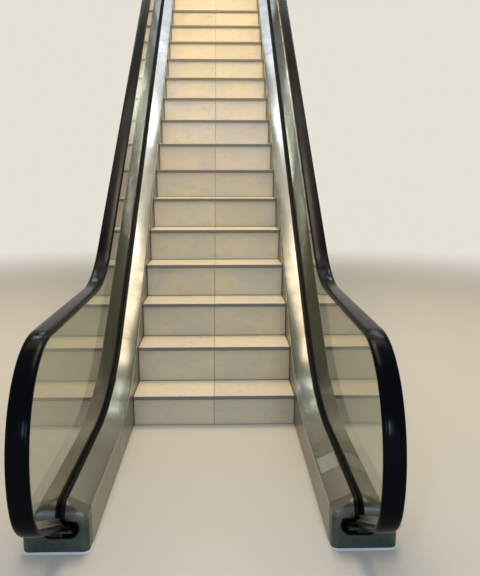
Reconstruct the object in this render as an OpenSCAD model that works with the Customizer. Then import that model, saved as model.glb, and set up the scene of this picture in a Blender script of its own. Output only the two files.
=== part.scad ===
// A disused escalator: its balustrades, handrails and truss are in place, and a
// stair of ceramic tile is laid on its steps. Millimetres, +Y up the flight, +Z
// up, with the origin on the underside of the sole plate that carries its foot.

/* [Flight] */
// Angle of the incline, in degrees
incline_deg = 35; // [30:1:35]
// Distance from one step axle to the next along the incline
step_pitch = 405; // [395:1:410]
// Risers of full height, between the first and the last
full_risers = 17; // [10:1:22]
// Height of the first riser and of the last
end_rise = 192; // [175:1:215]
// Clear width between the two skirts
clear_w = 1008; // [808:200:1008]
// Thickness of a tread slab with its mortar bed
tread_t = 24; // [16:1:32]
// Thickness of a riser tile
riser_t = 16; // [10:1:24]
// How far a tread stands out over the riser below it
nosing = 12; // [0:1:20]
// Depth of solid step below the back edge of its tread
step_body = 60; // [40:5:80]
// Gap between neighbouring steps
step_gap = 4; // [2:1:8]

/* [Balustrade] */
// Height of the handrail's centre line above the floor
handrail_h = 960; // [900:5:1060]
// Width of the handrail belt
handrail_w = 80; // [76:1:88]
// Thickness of the handrail belt from lip to crown
handrail_t = 30; // [26:1:34]
// Thickness of the balustrade glass
glass_t = 10; // [8:1:12]
// Distance from the skirt's face to the middle of the glass
glass_out = 116; // [108:1:125]
// Distance from the skirt's face to the outer side of the balustrade
side_out = 277; // [265:1:300]
// Width of one gasket strip beside the glass
gasket_w = 20; // [12:1:24]
// Height of the gasket above the decking
gasket_proud = 8; // [4:1:12]
// Height of the decking's inner edge above the floor
deck_h = 172; // [165:1:190]
// How far the decking rises from its inner edge to the glass
deck_rise = 46; // [35:1:60]
// How far the decking falls from the glass to its outer edge
deck_fall = 36; // [20:1:45]
// How far the foot of the balustrade reaches in front of the first riser
foot_reach = 1530; // [1400:10:1800]
// Distance from the foot's front to the middle of the handrail's round end
newel_out = 100; // [80:5:160]
// Radius of the handrail's round end
newel_r = 417; // [380:1:440]
// Turn from the top of the round end at which its tighter heel starts
newel_turn = 105; // [90:1:115]
// Radius of the handrail at the heel, before it runs down to the inlet
heel_r = 200; // [180:5:240]
// Height of the handrail's centre line where it enters the foot
inlet_h = 118; // [114:1:122]
// Width of the handrail's inlet
inlet_w = 160; // [150:1:170]
// Height of the handrail's inlet
inlet_d = 90; // [80:1:92]
// Gap between neighbouring panes
pane_gap = 4; // [2:0.5:8]
// Panes on the incline between the two end panes
incline_panes = 4; // [3:1:6]
// Distance from a bend to the joint of its end pane
pane_joint = 430; // [300:10:500]

/* [Bends] */
// Radius of the lower bend at floor level
low_bend_r = 1800; // [1600:10:2000]
// Radius of the upper bend at floor level
high_bend_r = 1000; // [950:10:1300]
// Drop from the line of the nosings to the guide line of the bends
guide_drop = 133; // [120:1:145]

/* [Truss] */
// Depth of the truss below the guide line
truss_d = 760; // [700:5:800]
// Side of the truss's square bars
bar = 70; // [60:1:80]
// Bays of the truss on the incline
truss_bays = 6; // [5:1:8]
// Thickness of the cladding and soffit sheets
sheet_t = 4; // [3:0.5:6]
// Thickness of the stainless decking and skirts
steel_t = 2; // [1.5:0.5:3]
// Depth from the floor to the tops of the truss's upper bars
chord_drop = 111; // [105:1:125]
// Height of the two stringers under the steps
stringer_d = 140; // [120:5:170]
// Width of a stringer
stringer_w = 80; // [60:1:110]
// Thickness of the sole plate under the stringers
sole_t = 20; // [12:1:25]
// Width of a leg of the bearing angle at the upper end
bearing_leg = 150; // [130:5:200]
// Thickness of the bearing angle
bearing_t = 15; // [10:1:20]
// Radius of the bolt holes in the bearing angle
bolt_r = 13; // [9:0.5:16]
// Distance between the two bolt holes
bolt_spacing = 1200; // [800:10:1300]

/* [Hidden] */
$fn = 48;

// Clearance of a piece that lies against a curved or sloping seat
seat = 0.3;
// Gap between neighbouring lengths of one profile
joint = 1;
// Side clearance of the steps and of the tiles to the skirts
step_side = 6;
tile_side = 3;
// Reach of a cutting block past the part
beyond = 3000;

// Steps
rise = step_pitch * sin(incline_deg);
going = step_pitch * cos(incline_deg);
slope = tan(incline_deg);
risers = full_risers + 2;
total_rise = 2 * end_rise + full_risers * rise;
unit_run = going - step_gap;

// Heights square to the incline, measured from the guide line
nosing_e = guide_drop * cos(incline_deg);
step_seat_e = nosing_e - sin(incline_deg) * riser_t
    - cos(incline_deg) * (unit_run * slope + tread_t + step_body);
stringer_e = step_seat_e - seat - stringer_d;

// The guide line runs level, bends up, climbs and bends level again. Every long
// piece is drawn at its own distance from it. The sole plate's middle is at y = 0.
low_y = -(sole_t - (stringer_e + stringer_d / 2) / cos(incline_deg)) / slope;
riser_y = low_y + (end_rise - guide_drop) / slope;
high_y = riser_y + (total_rise - end_rise + guide_drop) / slope;
landing_y = riser_y + (risers - 1) * going;
low_tangent = low_bend_r * tan(incline_deg / 2);
high_tangent = high_bend_r * tan(incline_deg / 2);
low_bend = low_bend_r * incline_deg * PI / 180;
high_bend = high_bend_r * incline_deg * PI / 180;
line_length = (high_y - low_y) / cos(incline_deg);
foot_y = riser_y - foot_reach;
head_y = landing_y + foot_reach;

// Distances along the guide line, from the start of the lower bend
climb_at = low_bend;
crest_at = climb_at + line_length - low_tangent - high_tangent;
level_at = crest_at + high_bend;
foot_at = foot_y - (low_y - low_tangent);
head_at = level_at + head_y - (high_y + high_tangent);

// Sideways places, on the right-hand side
skirt_x = clear_w / 2;
glass_x = skirt_x + glass_out;
side_x = skirt_x + side_out;
gasket_in = glass_x - glass_t / 2 - gasket_w;
gasket_out = glass_x + glass_t / 2 + gasket_w;
post_x = side_x - sheet_t - bar;
stringer_in = 110;
steps_x = skirt_x - step_side;
tiles_x = skirt_x - tile_side;
stringer_x = skirt_x - stringer_in;
inside_x = side_x - sheet_t - seat;

// Decking
deck_top = deck_h + deck_rise;
deck_edge = deck_top - deck_fall;
deck_lip = 24;
skirt_foot = chord_drop - 1;
skirt_top = deck_h - steel_t - seat;
cladding_top = deck_edge - steel_t - seat;

// Front of a foot: a plate with the inlet in it, under a rounded nose
corner_r = 30;
cap_len = 80;
hood_out = 12;
hood_z = inlet_h + 32;
nose_r = deck_top - hood_z;
nose_start = nose_r - hood_out;
nose_stop_deg = 8;

// Glass and what holds it
glass_edge = 34;
glass_low = hood_z + 10;
glass_high = handrail_h - glass_edge;
gasket_low = glass_low + 4;
clamp_wall = 9;
clamp_web = 12;
clamp_low = 96;
shelf_t = 6;
web_x = post_x - seat;
web_foot = chord_drop + 40;
bar_drop = web_foot + joint;

// Handrail and its guide
bend_steps = 7;
pane_steps = 14;
lip_steps = 8;
lip_deg = 235;
belt_wall = 9;
newel_at = foot_at - newel_out;
newel_top_at = head_at + newel_out;
return_e = 46;
dip_r = 400;
clamp_in = 450;
guide_crown = 3;
guide_foot = 18;
guide_cup = 38;
cup_wall = 4;
guide_web = 12;
guide_stop = hood_out + gasket_proud + 4;
inlet_z = inlet_h - 6;
inlet_wall = 8;
inlet_proud = 4;
inlet_depth = 30;

// The handrail's way in, seen from the side: its round end tightens at the heel and
// runs straight down to the inlet and on to the dip, where it turns level. Places
// are [y, z] from the floor under the front of a foot.
newel_mid = [-newel_out, handrail_h - newel_r];
heel_mid = newel_mid + (newel_r - heel_r) * [-sin(newel_turn), cos(newel_turn)];
heel_h = heel_mid[1] - inlet_h;
run_deg = acos(heel_r / norm([heel_mid[0], heel_h])) - atan2(-heel_mid[0], heel_h);
heel_turn = 180 - run_deg;
dip_y = (inlet_h - return_e) / tan(run_deg) + dip_r * tan(run_deg / 2);
dip_mid = [dip_y, return_e + dip_r];
glass_in = (inlet_h + glass_edge / cos(run_deg) - glass_low) / tan(run_deg);

// How square the belt's skin is: at its flanks, at its crown, and inside
flank_power = 0.55;
crown_power = 0.75;
inside_flat = 0.9;

// Upper end of the truss
end_clear = 66;
truss_end = head_y + newel_out + newel_r + handrail_t / 2 + end_clear;
truss_end_at = head_at + truss_end - head_y;
plate_t = 8;
rib_t = 8;
ribs = 5;
sole_ease = 4;
web_part = 0.7;
crown_post = 150;
landing_bars = 5;
bearing_drop = 60;
stringer_past = 250;
bar_past = 20;

// A place on the guide line: [y, z, angle of climb] at distance s along it
function at(s) =
    s <= 0 ? [low_y - low_tangent + s, 0, 0]
    : s <= climb_at ? let (a = incline_deg * s / low_bend)
        [low_y - low_tangent + low_bend_r * sin(a), low_bend_r * (1 - cos(a)), a]
    : s <= crest_at ? let (run = low_tangent + s - climb_at)
        [low_y + run * cos(incline_deg), run * sin(incline_deg), incline_deg]
    : s <= level_at ? let (a = incline_deg * (level_at - s) / high_bend)
        [high_y + high_tangent - high_bend_r * sin(a), total_rise - high_bend_r * (1 - cos(a)), a]
    : [high_y + high_tangent + s - level_at, total_rise, 0];

// Distances from s0 to s1, with a number of steps in each bend between them
function rings(s0, s1, steps) = concat(
    [s0],
    [for (i = [0 : steps]) let (s = low_bend * i / steps) if (s > s0 && s < s1) s],
    [for (i = [0 : steps]) let (s = crest_at + high_bend * i / steps) if (s > s0 && s < s1) s],
    [s1]
);
function lifted(st, e) = [st[0] - e * sin(st[2]), st[1] + e * cos(st[2]), st[2]];
function stations(s0, s1, e, steps) = [for (s = rings(s0, s1, steps)) lifted(at(s), e)];
function backwards(list) = [for (i = [len(list) - 1 : -1 : 0]) list[i]];
function yz(list) = [for (st = list) [st[0], st[1]]];

// The front top corner of riser k, the first being 1
function nose(k) = [riser_y + (k - 1) * going, k == risers ? total_rise : end_rise + (k - 1) * rise];

// A point of the truss's own drawing: d along the incline, e square to it
function truss_point(d, e) = [
    low_y + d * cos(incline_deg) - e * sin(incline_deg),
    d * sin(incline_deg) + e * cos(incline_deg)
];
function mitred(corner, e) = corner + e * [-tan(incline_deg / 2), 1];

// Turns an outline seen from the side into a plate between x0 and x1
module plate(x0, x1)
    translate([x0, 0, 0])
    rotate([90, 0, 90])
    linear_extrude(height = x1 - x0)
    children();

module above_floor_2d() {
    intersection() {
        children();
        translate([foot_y - beyond, 0]) square([truss_end - foot_y + 2 * beyond, total_rise + beyond]);
    }
}

module above_floor() {
    intersection() {
        children();
        translate([-beyond, foot_y - beyond, 0])
            cube([2 * beyond, truss_end - foot_y + 2 * beyond, total_rise + beyond]);
    }
}

// Draws a right-hand piece on the side asked for
module on_side(side) {
    if (side > 0) children();
    else mirror([1, 0, 0]) children();
}

// One length of a profile. Profiles are drawn with x sideways and e upwards.
module level_length(s0, s1)
    translate([0, at(s1)[0], at(s1)[1]])
    rotate([90, 0, 0])
    linear_extrude(height = s1 - s0)
    children();

module climbing_length(s0, s1)
    translate([0, at(s1)[0], at(s1)[1]])
    rotate([90 + incline_deg, 0, 0])
    linear_extrude(height = s1 - s0)
    children();

module low_bend_length(s0, s1)
    translate([0, low_y - low_tangent, low_bend_r])
    rotate([0, 90, 0])
    rotate([0, 0, at(s0)[2]])
    rotate_extrude(angle = at(s1)[2] - at(s0)[2])
    translate([low_bend_r, 0])
    rotate(90)
    children();

module high_bend_length(s0, s1)
    translate([0, high_y + high_tangent, total_rise - high_bend_r])
    rotate([0, -90, 0])
    rotate([0, 0, -at(s0)[2]])
    rotate_extrude(angle = at(s0)[2] - at(s1)[2])
    translate([high_bend_r, 0])
    rotate(-90)
    children();

// A profile laid from s0 to s1 in lengths that meet at the bends, with the climb
// itself in as many equal lengths as asked for
module course(s0, s1, lengths = 3) {
    limits = [s0, 0, climb_at, crest_at, level_at, s1];
    for (k = [0 : 4]) {
        a = max(s0, limits[k]) + (limits[k] > s0 ? joint / 2 : 0);
        b = min(s1, limits[k + 1]) - (limits[k + 1] < s1 ? joint / 2 : 0);
        if (b > a) {
            if (k == 0 || k == 4) level_length(a, b) children();
            if (k == 1) low_bend_length(a, b) children();
            if (k == 3) high_bend_length(a, b) children();
            if (k == 2) {
                run = (b - a + joint) / lengths;
                for (i = [0 : lengths - 1])
                    climbing_length(a + i * run, a + (i + 1) * run - joint) children();
            }
        }
    }
}

// Draws a piece of the lower foot, or the same piece turned round at the head.
// Inside it y = 0 is the front of the foot and z = 0 the floor.
module at_end(upper) {
    if (upper) translate([0, head_y, total_rise]) mirror([0, 1, 0]) children();
    else translate([0, foot_y, 0]) children();
}

// Seen from above, a foot with rounded corners, from its front to the length given
module foot_plan(inset, front, length) {
    r = corner_r - inset;
    x0 = skirt_x + inset;
    x1 = side_x - inset;
    y0 = front + inset;
    translate([x0 + r, y0 + r]) circle(r);
    translate([x1 - r, y0 + r]) circle(r);
    translate([x0 + r, y0]) square([x1 - x0 - 2 * r, length - y0]);
    translate([x0, y0 + r]) square([x1 - x0, length - y0 - r]);
}

// Seen from the side, the nose that the decking runs out in
module nose_side(inset, length) {
    intersection() {
        translate([nose_start, hood_z]) circle(nose_r - inset);
        translate([-hood_out, hood_z + inset]) square(nose_r);
    }
    translate([nose_start, hood_z + inset]) square([length - nose_start, nose_r - 2 * inset]);
}

// A foot's end, flush with the decking: its nose, and the front below it
module foot_end(inset, length) {
    low = inset > 0 ? -1 : 0;
    intersection() {
        translate([0, length, 0])
            rotate([90, 0, 0])
            linear_extrude(height = length + hood_out)
            polygon([
                [skirt_x, low], [side_x, low], [side_x, deck_edge - inset],
                [gasket_out, deck_top - inset], [gasket_in, deck_top - inset], [skirt_x, deck_h - inset]
            ]);
        union() {
            intersection() {
                linear_extrude(height = deck_top) foot_plan(inset, -hood_out, length);
                plate(skirt_x, side_x) nose_side(inset, length);
            }
            translate([0, 0, low])
                linear_extrude(height = hood_z + 2 * inset - low) foot_plan(inset, 0, length);
        }
    }
}

module stadium(w, h) {
    for (side = [-1, 1]) translate([side * (w - h) / 2, 0]) circle(h / 2);
    square([w - h, h], center = true);
}

module step_units() {
    color("dimgray")
    plate(-steps_x, steps_x)
    above_floor_2d()
    for (k = [1 : risers - 1]) {
        front = nose(k)[0] + riser_t + step_gap;
        top = nose(k)[1] - tread_t;
        polygon([
            [front, top], [front + unit_run, top], [front + unit_run, top - step_body],
            [front, top - step_body - unit_run * slope]
        ]);
    }
}

module tread_slabs() {
    color("wheat")
    for (k = [1 : risers - 1]) {
        front = nose(k)[0] - nosing;
        back = nose(k + 1)[0] + riser_t;
        translate([-tiles_x, front, nose(k)[1] - tread_t]) cube([2 * tiles_x, back - front, tread_t]);
    }
}

module riser_tiles() {
    color("tan")
    for (k = [1 : risers]) {
        foot = k == 1 ? 0 : nose(k - 1)[1];
        translate([-tiles_x, nose(k)[0], foot]) cube([2 * tiles_x, riser_t, nose(k)[1] - tread_t - foot]);
    }
}

module stringers() {
    end_y = landing_y + stringer_past;
    color("slategray")
    for (x = [-stringer_x, stringer_x - stringer_w])
    plate(x, x + stringer_w)
    intersection() {
        polygon([
            truss_point(0, stringer_e),
            truss_point(line_length + beyond, stringer_e),
            truss_point(line_length + beyond, stringer_e + stringer_d),
            truss_point(0, stringer_e + stringer_d)
        ]);
        translate([low_y, sole_t]) square([end_y - low_y, total_rise - bar_drop - sole_t]);
    }
}

module sole_plate() {
    half = stringer_d / sin(incline_deg) / 2 - sole_ease;
    color("slategray")
    translate([-post_x, -half, 0]) cube([2 * post_x, 2 * half, sole_t]);
}

// Distances along the incline of the truss's cross frames
first_frame = truss_d / slope;
frame_pitch = (line_length - first_frame) / truss_bays;
function frame_at(k) = first_frame + k * frame_pitch;

module cross_bars() {
    level_y0 = landing_y + stringer_past + bar_past;
    level_pitch = (truss_end - bar - level_y0) / (landing_bars - 1);
    color("slategray")
    plate(-post_x, post_x) {
        for (k = [0 : truss_bays - 1])
        let (p = truss_point(frame_at(k) - bar / 2, stringer_e - seat - bar))
            translate(p) rotate(incline_deg) square(bar);
        for (i = [0 : landing_bars - 1])
            translate([level_y0 + i * level_pitch, total_rise - bar_drop - bar]) square(bar);
    }
}

module landing_plan(front) {
    translate([-tiles_x, front]) square([2 * tiles_x, head_y - front]);
    translate([-inside_x, head_y - cap_len]) square([2 * inside_x, truss_end - head_y + cap_len]);
}

module landing_pan() {
    front = landing_y + riser_t;
    color("slategray") {
        translate([0, 0, total_rise - tread_t - plate_t])
            linear_extrude(height = plate_t) landing_plan(front);
        for (i = [0 : ribs - 1])
        let (x = -tiles_x + i * (2 * tiles_x - rib_t) / (ribs - 1))
            translate([x, front, total_rise - bar_drop])
            cube([rib_t, truss_end - front, bar_drop - tread_t - plate_t / 2]);
    }
}

module landing_tiles() {
    color("wheat")
    translate([0, 0, total_rise - tread_t])
        linear_extrude(height = tread_t) landing_plan(landing_y - nosing);
}

module end_plate() {
    color("slategray")
    translate([-inside_x, truss_end, total_rise - truss_d - sheet_t])
        cube([2 * inside_x, plate_t, truss_d + sheet_t]);
}

module bearing_angle() {
    top = total_rise - bearing_drop;
    front = truss_end + plate_t;
    color("slategray")
    difference() {
        plate(-post_x, post_x)
        polygon([
            [front, top], [front + bearing_leg, top], [front + bearing_leg, top - bearing_t],
            [front + bearing_t, top - bearing_t], [front + bearing_t, top - bearing_leg],
            [front, top - bearing_leg]
        ]);
        for (side = [-1, 1])
            translate([side * bolt_spacing / 2, front + (bearing_leg + bearing_t) / 2, top - bearing_t - 1])
            cylinder(h = bearing_t + 2, r = bolt_r);
    }
}

module soffit_sheets() {
    color("gainsboro")
    above_floor()
    course(climb_at, truss_end_at)
    translate([-inside_x, -truss_d - sheet_t]) square([2 * inside_x, sheet_t]);
}

// One bar of the truss between two points of its drawing
module truss_bar(p, q, w) {
    d = q - p;
    n = [-d[1], d[0]] / norm(d) * w / 2;
    polygon([p + n, q + n, q - n, p - n]);
}

module chord(e) {
    low = [low_y, 0];
    high = [high_y, total_rise];
    polygon([
        mitred(low, e + bar), mitred(high, e + bar), [truss_end, total_rise + e + bar],
        [truss_end, total_rise + e], mitred(high, e), mitred(low, e)
    ]);
}

module truss_member() plate(post_x, post_x + bar) children();

module truss(side) {
    top_e = -chord_drop - bar;
    low_e = -truss_d;
    mid_top = top_e + bar / 2;
    mid_low = low_e + bar / 2;
    sill_end = low_y + truss_d / sin(incline_deg);
    web = bar * web_part;
    first_y = high_y + crown_post;
    last_y = truss_end - bar / 2;
    level_y = [first_y, (first_y + last_y) / 2, last_y];
    color("slategray")
    on_side(side)
    above_floor() {
        truss_member() chord(top_e);
        truss_member() chord(low_e);
        truss_member() translate([foot_y + cap_len, 0]) square([sill_end - foot_y - cap_len, bar]);
        for (k = [0 : truss_bays - 1])
            truss_member()
            truss_bar(truss_point(frame_at(k), mid_low), truss_point(frame_at(k), mid_top), web);
        for (k = [0 : truss_bays - 2])
            truss_member()
            truss_bar(truss_point(frame_at(k), mid_low), truss_point(frame_at(k + 1), mid_top), web);
        truss_member()
            truss_bar(truss_point(frame_at(truss_bays - 1), mid_low), [first_y, total_rise + mid_top], web);
        for (y = level_y)
            truss_member()
            truss_bar([y, total_rise + mid_low], [y, total_rise + mid_top], y == last_y ? bar : web);
        for (i = [0 : 1])
            truss_member()
            truss_bar([level_y[i], total_rise + mid_low], [level_y[i + 1], total_rise + mid_top], web);
    }
}

// A pressed rail that carries the clamp and ties skirt and truss together
module bracket_rail(side) {
    color("slategray")
    on_side(side)
    above_floor()
    course(foot_at + clamp_in, head_at - clamp_in)
    polygon([
        [skirt_x + steel_t + seat, clamp_low], [web_x, clamp_low], [web_x, -web_foot],
        [web_x - shelf_t, -web_foot], [web_x - shelf_t, clamp_low - shelf_t],
        [skirt_x + steel_t + seat, clamp_low - shelf_t]
    ]);
}

module cladding(side) {
    color("lightsteelblue")
    on_side(side)
    above_floor() {
        course(foot_at + cap_len + joint, head_at - cap_len - joint)
            translate([side_x - sheet_t, -truss_d - sheet_t])
            square([sheet_t, truss_d + sheet_t + cladding_top]);
        level_length(head_at - cap_len, truss_end_at + plate_t)
            translate([side_x - sheet_t, -truss_d - sheet_t])
            square([sheet_t, truss_d + sheet_t]);
    }
}

module skirt(side) {
    color("silver")
    on_side(side)
    above_floor()
    course(foot_at + cap_len + joint, head_at - cap_len - joint)
    translate([skirt_x, -skirt_foot]) square([steel_t, skirt_foot + skirt_top]);
}

// A strip of decking from its lipped edge at a to the gasket at b. The lip hangs
// behind a wall of the thickness given.
module deck_profile(a, b, wall) {
    dir = sign(b[0] - a[0]);
    k = (b[1] - a[1]) / (b[0] - a[0]);
    x0 = a[0] + dir * (wall + seat);
    x1 = x0 + dir * steel_t;
    under = a[1] - steel_t;
    polygon([
        a, b, [b[0], b[1] - steel_t], [x1, under + (x1 - a[0]) * k], [x1, a[1] - deck_lip],
        [x0, a[1] - deck_lip], [x0, under + (x0 - a[0]) * k], [a[0], under]
    ]);
}

module decking(a, b, wall)
    course(foot_at + cap_len + joint, head_at - cap_len - joint) deck_profile(a, b, wall);

module inner_deck(side) {
    color("silver")
    on_side(side)
    decking([skirt_x, deck_h], [gasket_in - seat, deck_top], steel_t);
}

module outer_deck(side) {
    color("silver")
    on_side(side)
    decking([side_x, deck_edge], [gasket_out + seat, deck_top], sheet_t);
}

module glass_clamp(side) {
    fall_in = clamp_wall * deck_rise / (gasket_in - skirt_x);
    fall_out = clamp_wall * deck_fall / (side_x - gasket_out);
    low = clamp_low + seat;
    web_top = glass_low - seat;
    top = deck_top - steel_t - seat;
    color("darkgray")
    on_side(side)
    course(foot_at + clamp_in, head_at - clamp_in) {
        difference() {
            polygon([
                [gasket_in - clamp_wall, low], [gasket_out + clamp_wall, low],
                [gasket_out + clamp_wall, top - fall_out], [gasket_out, top],
                [gasket_in, top], [gasket_in - clamp_wall, top - fall_in]
            ]);
            translate([gasket_in, web_top]) square([gasket_out - gasket_in, top]);
            translate([gasket_in, low - 1]) square([gasket_out - gasket_in, web_top - clamp_web - low + 1]);
        }
    }
}

module gasket(side) {
    width = gasket_w - 2 * seat;
    height = deck_top + gasket_proud - gasket_low;
    color("black")
    on_side(side)
    for (x = [gasket_in + seat, glass_x + glass_t / 2 + seat]) {
        course(foot_at + nose_start + joint, head_at - nose_start - joint)
            translate([x, gasket_low]) square([width, height]);
        for (upper = [false, true])
            at_end(upper)
            translate([x, nose_start, hood_z])
            rotate([0, 90, 0])
            rotate([0, 0, 180])
            rotate_extrude(angle = 90 - nose_stop_deg)
            translate([nose_r + gasket_proud - height, 0]) square([height, width]);
    }
}

// Stations of an arc by their turn from its top, in the frame of a lower foot
function turned_to(mid, r, a) = [mid[0] - r * sin(a), mid[1] + r * cos(a), a];
function arc(mid, r, a0, a1) =
    let (steps = ceil($fn * (a1 - a0) / 360))
    [for (i = [1 : steps]) turned_to(mid, r, a0 + (a1 - a0) * i / steps)];
// Stations round a newel and its heel, at a distance inside the handrail's centre line
function round_end(inset) = concat(
    arc(newel_mid, newel_r - inset, 0, newel_turn),
    arc(heel_mid, heel_r - inset, newel_turn, heel_turn)
);
function placed(upper, list) = [
    for (st = list)
    upper ? [head_y - st[0], total_rise + st[1], -st[2]] : [foot_y + st[0], st[1], st[2]]
];

first_joint = climb_at + pane_joint;
last_joint = crest_at - pane_joint;

module pane_outline(s0, s1, lower_end, upper_end) {
    low_s0 = lower_end ? foot_at + glass_in : s0;
    low_s1 = upper_end ? head_at - glass_in : s1;
    polygon(concat(
        yz(stations(s0, s1, glass_high, pane_steps)),
        upper_end ? yz(placed(true, round_end(glass_edge))) : [],
        backwards(yz(stations(low_s0, low_s1, glass_low, pane_steps))),
        lower_end ? backwards(yz(placed(false, round_end(glass_edge)))) : []
    ));
}

module glass(side) {
    color("azure", 0.4)
    on_side(side)
    plate(glass_x - glass_t / 2, glass_x + glass_t / 2)
    children();
}

module lower_pane(side)
    glass(side) pane_outline(newel_at, first_joint - pane_gap / 2, true, false);

module upper_pane(side)
    glass(side) pane_outline(last_joint + pane_gap / 2, newel_top_at, false, true);

module incline_panes_of(side) {
    pitch = (last_joint - first_joint) / incline_panes;
    glass(side)
    for (i = [0 : incline_panes - 1])
        pane_outline(
            first_joint + i * pitch + pane_gap / 2,
            first_joint + (i + 1) * pitch - pane_gap / 2, false, false
        );
}

// The belt's outer skin, or with an inset its inner skin, from lip to lip. Its
// corners are squarer than an ellipse's.
function squared(v, power) = sign(v) * pow(abs(v), power);
function belt_skin(inset) = [
    for (i = [0 : lip_steps])
    let (a = lip_deg - (2 * lip_deg - 180) * i / lip_steps)
    [
        glass_x + (handrail_w / 2 - inset) * squared(cos(a), flank_power),
        (handrail_t / 2 - inset * inside_flat) * squared(sin(a), crown_power)
    ]
];
guide_half = glass_x - belt_skin(belt_wall)[0][0] - seat;

// The profile inside the belt, with a cup below it for the edge of the glass
module guide_profile() {
    cup = glass_t / 2 + seat + cup_wall;
    slot = glass_t / 2 + seat;
    difference() {
        union() {
            translate([glass_x - guide_half, -guide_foot])
                square([2 * guide_half, guide_foot + guide_crown]);
            translate([glass_x - cup, -guide_cup]) square([2 * cup, guide_cup]);
        }
        translate([glass_x - slot, -guide_cup - 1]) square([2 * slot, guide_cup - guide_foot - guide_web]);
    }
}

// A profile swept round an arc of a lower foot, between two turns from its top
module swept_turn(mid, r, a0, a1)
    translate([0, mid[0], mid[1]])
    rotate([0, -90, 0])
    rotate([0, 0, -a1])
    rotate_extrude(angle = a1 - a0)
    translate([r, 0])
    rotate(-90)
    children();

// The guide's end: round the newel and its heel, then down towards the inlet as far
// as the nose lets it
module guide_end() {
    heel_end = turned_to(heel_mid, heel_r, heel_turn);
    joint_turn = joint / heel_r * 180 / PI;
    out = guide_stop + guide_cup * sin(run_deg);
    swept_turn(newel_mid, newel_r, 0, newel_turn) guide_profile();
    swept_turn(heel_mid, heel_r, newel_turn + joint_turn, heel_turn) guide_profile();
    translate([0, -out, inlet_h + out * tan(run_deg)])
        rotate([90 - run_deg, 0, 0])
        linear_extrude(height = (-heel_end[0] - out) / cos(run_deg) - joint)
        mirror([0, 1]) guide_profile();
}

module handrail_guide(side) {
    color("silver")
    on_side(side) {
        course(newel_at + joint, newel_top_at - joint) translate([0, handrail_h]) guide_profile();
        for (upper = [false, true]) at_end(upper) guide_end();
    }
}

// One section set square to a station
function ring(section, st) = [
    for (p = section) [p[0], st[0] - p[1] * sin(st[2]), st[1] + p[1] * cos(st[2])]
];

// Sweeps a closed section round a closed path of stations
module looped(section, path) {
    n = len(section);
    count = len(path);
    points = [for (st = path) each ring(section, st)];
    faces = [
        for (k = [0 : count - 1], i = [0 : n - 1])
        let (a = k * n, b = ((k + 1) % count) * n, j = (i + 1) % n)
        [a + i, a + j, b + j, b + i]
    ];
    polyhedron(points = points, faces = faces, convexity = 12);
}

// The handrail's way along the top, round the upper newel and in, back inside the
// balustrade, and out round the lower newel
function turned(list) = [for (st = list) [st[0], st[1], st[2] - 180]];
function way_in(upper) = placed(upper, concat(
    round_end(0), [[0, inlet_h, heel_turn]], arc(dip_mid, dip_r, heel_turn, 180)
));
function way_back() = turned(backwards(
    stations(foot_at + dip_y + joint, head_at - dip_y - joint, return_e, bend_steps)
));

module handrail(side) {
    section = concat(belt_skin(0), backwards(belt_skin(belt_wall)));
    color([0.06, 0.06, 0.07])
    on_side(side)
    looped(section, concat(
        stations(newel_at, newel_top_at, handrail_h, bend_steps),
        way_in(true), way_back(), backwards(way_in(false))
    ));
}

module newel_cap(upper, side) {
    slot = gasket_out - gasket_in + 2 * seat;
    color("darkslategray")
    on_side(side)
    at_end(upper)
    difference() {
        foot_end(0, cap_len);
        foot_end(steel_t, cap_len + 1);
        intersection() {
            translate([glass_x, corner_r, inlet_z]) rotate([90, 0, 0])
                linear_extrude(height = 2 * corner_r) stadium(inlet_w, inlet_d);
            translate([skirt_x, -corner_r, 0]) cube([side_out, 2 * corner_r, hood_z]);
        }
        translate([glass_x - slot / 2, -hood_out - 1, hood_z - 1])
            cube([slot, cap_len + hood_out + 2, deck_top]);
    }
}

// The moulded surround that the handrail runs in through, cut off under the nose
module inlet(upper, side) {
    color("black")
    on_side(side)
    at_end(upper)
    intersection() {
        translate([glass_x, inlet_depth - inlet_proud, inlet_z])
            rotate([90, 0, 0])
            difference() {
                linear_extrude(height = inlet_depth) stadium(inlet_w - 2 * seat, inlet_d - 2 * seat);
                translate([0, 0, -1]) linear_extrude(height = inlet_depth + 2)
                    stadium(inlet_w - 2 * inlet_wall, inlet_d - 2 * inlet_wall);
            }
        translate([skirt_x, -beyond / 2, 0]) cube([side_out, beyond, hood_z - seat]);
    }
}

step_units();
tread_slabs();
riser_tiles();
stringers();
cross_bars();
sole_plate();
landing_pan();
landing_tiles();
end_plate();
bearing_angle();
soffit_sheets();
truss(-1);  // truss_left
truss(1);  // truss_right
bracket_rail(-1);  // bracket_rail_left
bracket_rail(1);  // bracket_rail_right
cladding(-1);  // cladding_left
cladding(1);  // cladding_right
skirt(-1);  // skirt_left
skirt(1);  // skirt_right
inner_deck(-1);  // inner_deck_left
inner_deck(1);  // inner_deck_right
outer_deck(-1);  // outer_deck_left
outer_deck(1);  // outer_deck_right
glass_clamp(-1);  // glass_clamp_left
glass_clamp(1);  // glass_clamp_right
gasket(-1);  // gasket_left
gasket(1);  // gasket_right
lower_pane(-1);  // lower_pane_left
lower_pane(1);  // lower_pane_right
incline_panes_of(-1);  // incline_panes_left
incline_panes_of(1);  // incline_panes_right
upper_pane(-1);  // upper_pane_left
upper_pane(1);  // upper_pane_right
handrail_guide(-1);  // handrail_guide_left
handrail_guide(1);  // handrail_guide_right
handrail(-1);  // handrail_left
handrail(1);  // handrail_right
newel_cap(false, -1);  // lower_newel_cap_left
newel_cap(false, 1);  // lower_newel_cap_right
newel_cap(true, -1);  // upper_newel_cap_left
newel_cap(true, 1);  // upper_newel_cap_right
inlet(false, -1);  // lower_inlet_left
inlet(false, 1);  // lower_inlet_right
inlet(true, -1);  // upper_inlet_left
inlet(true, 1);  // upper_inlet_right
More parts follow.
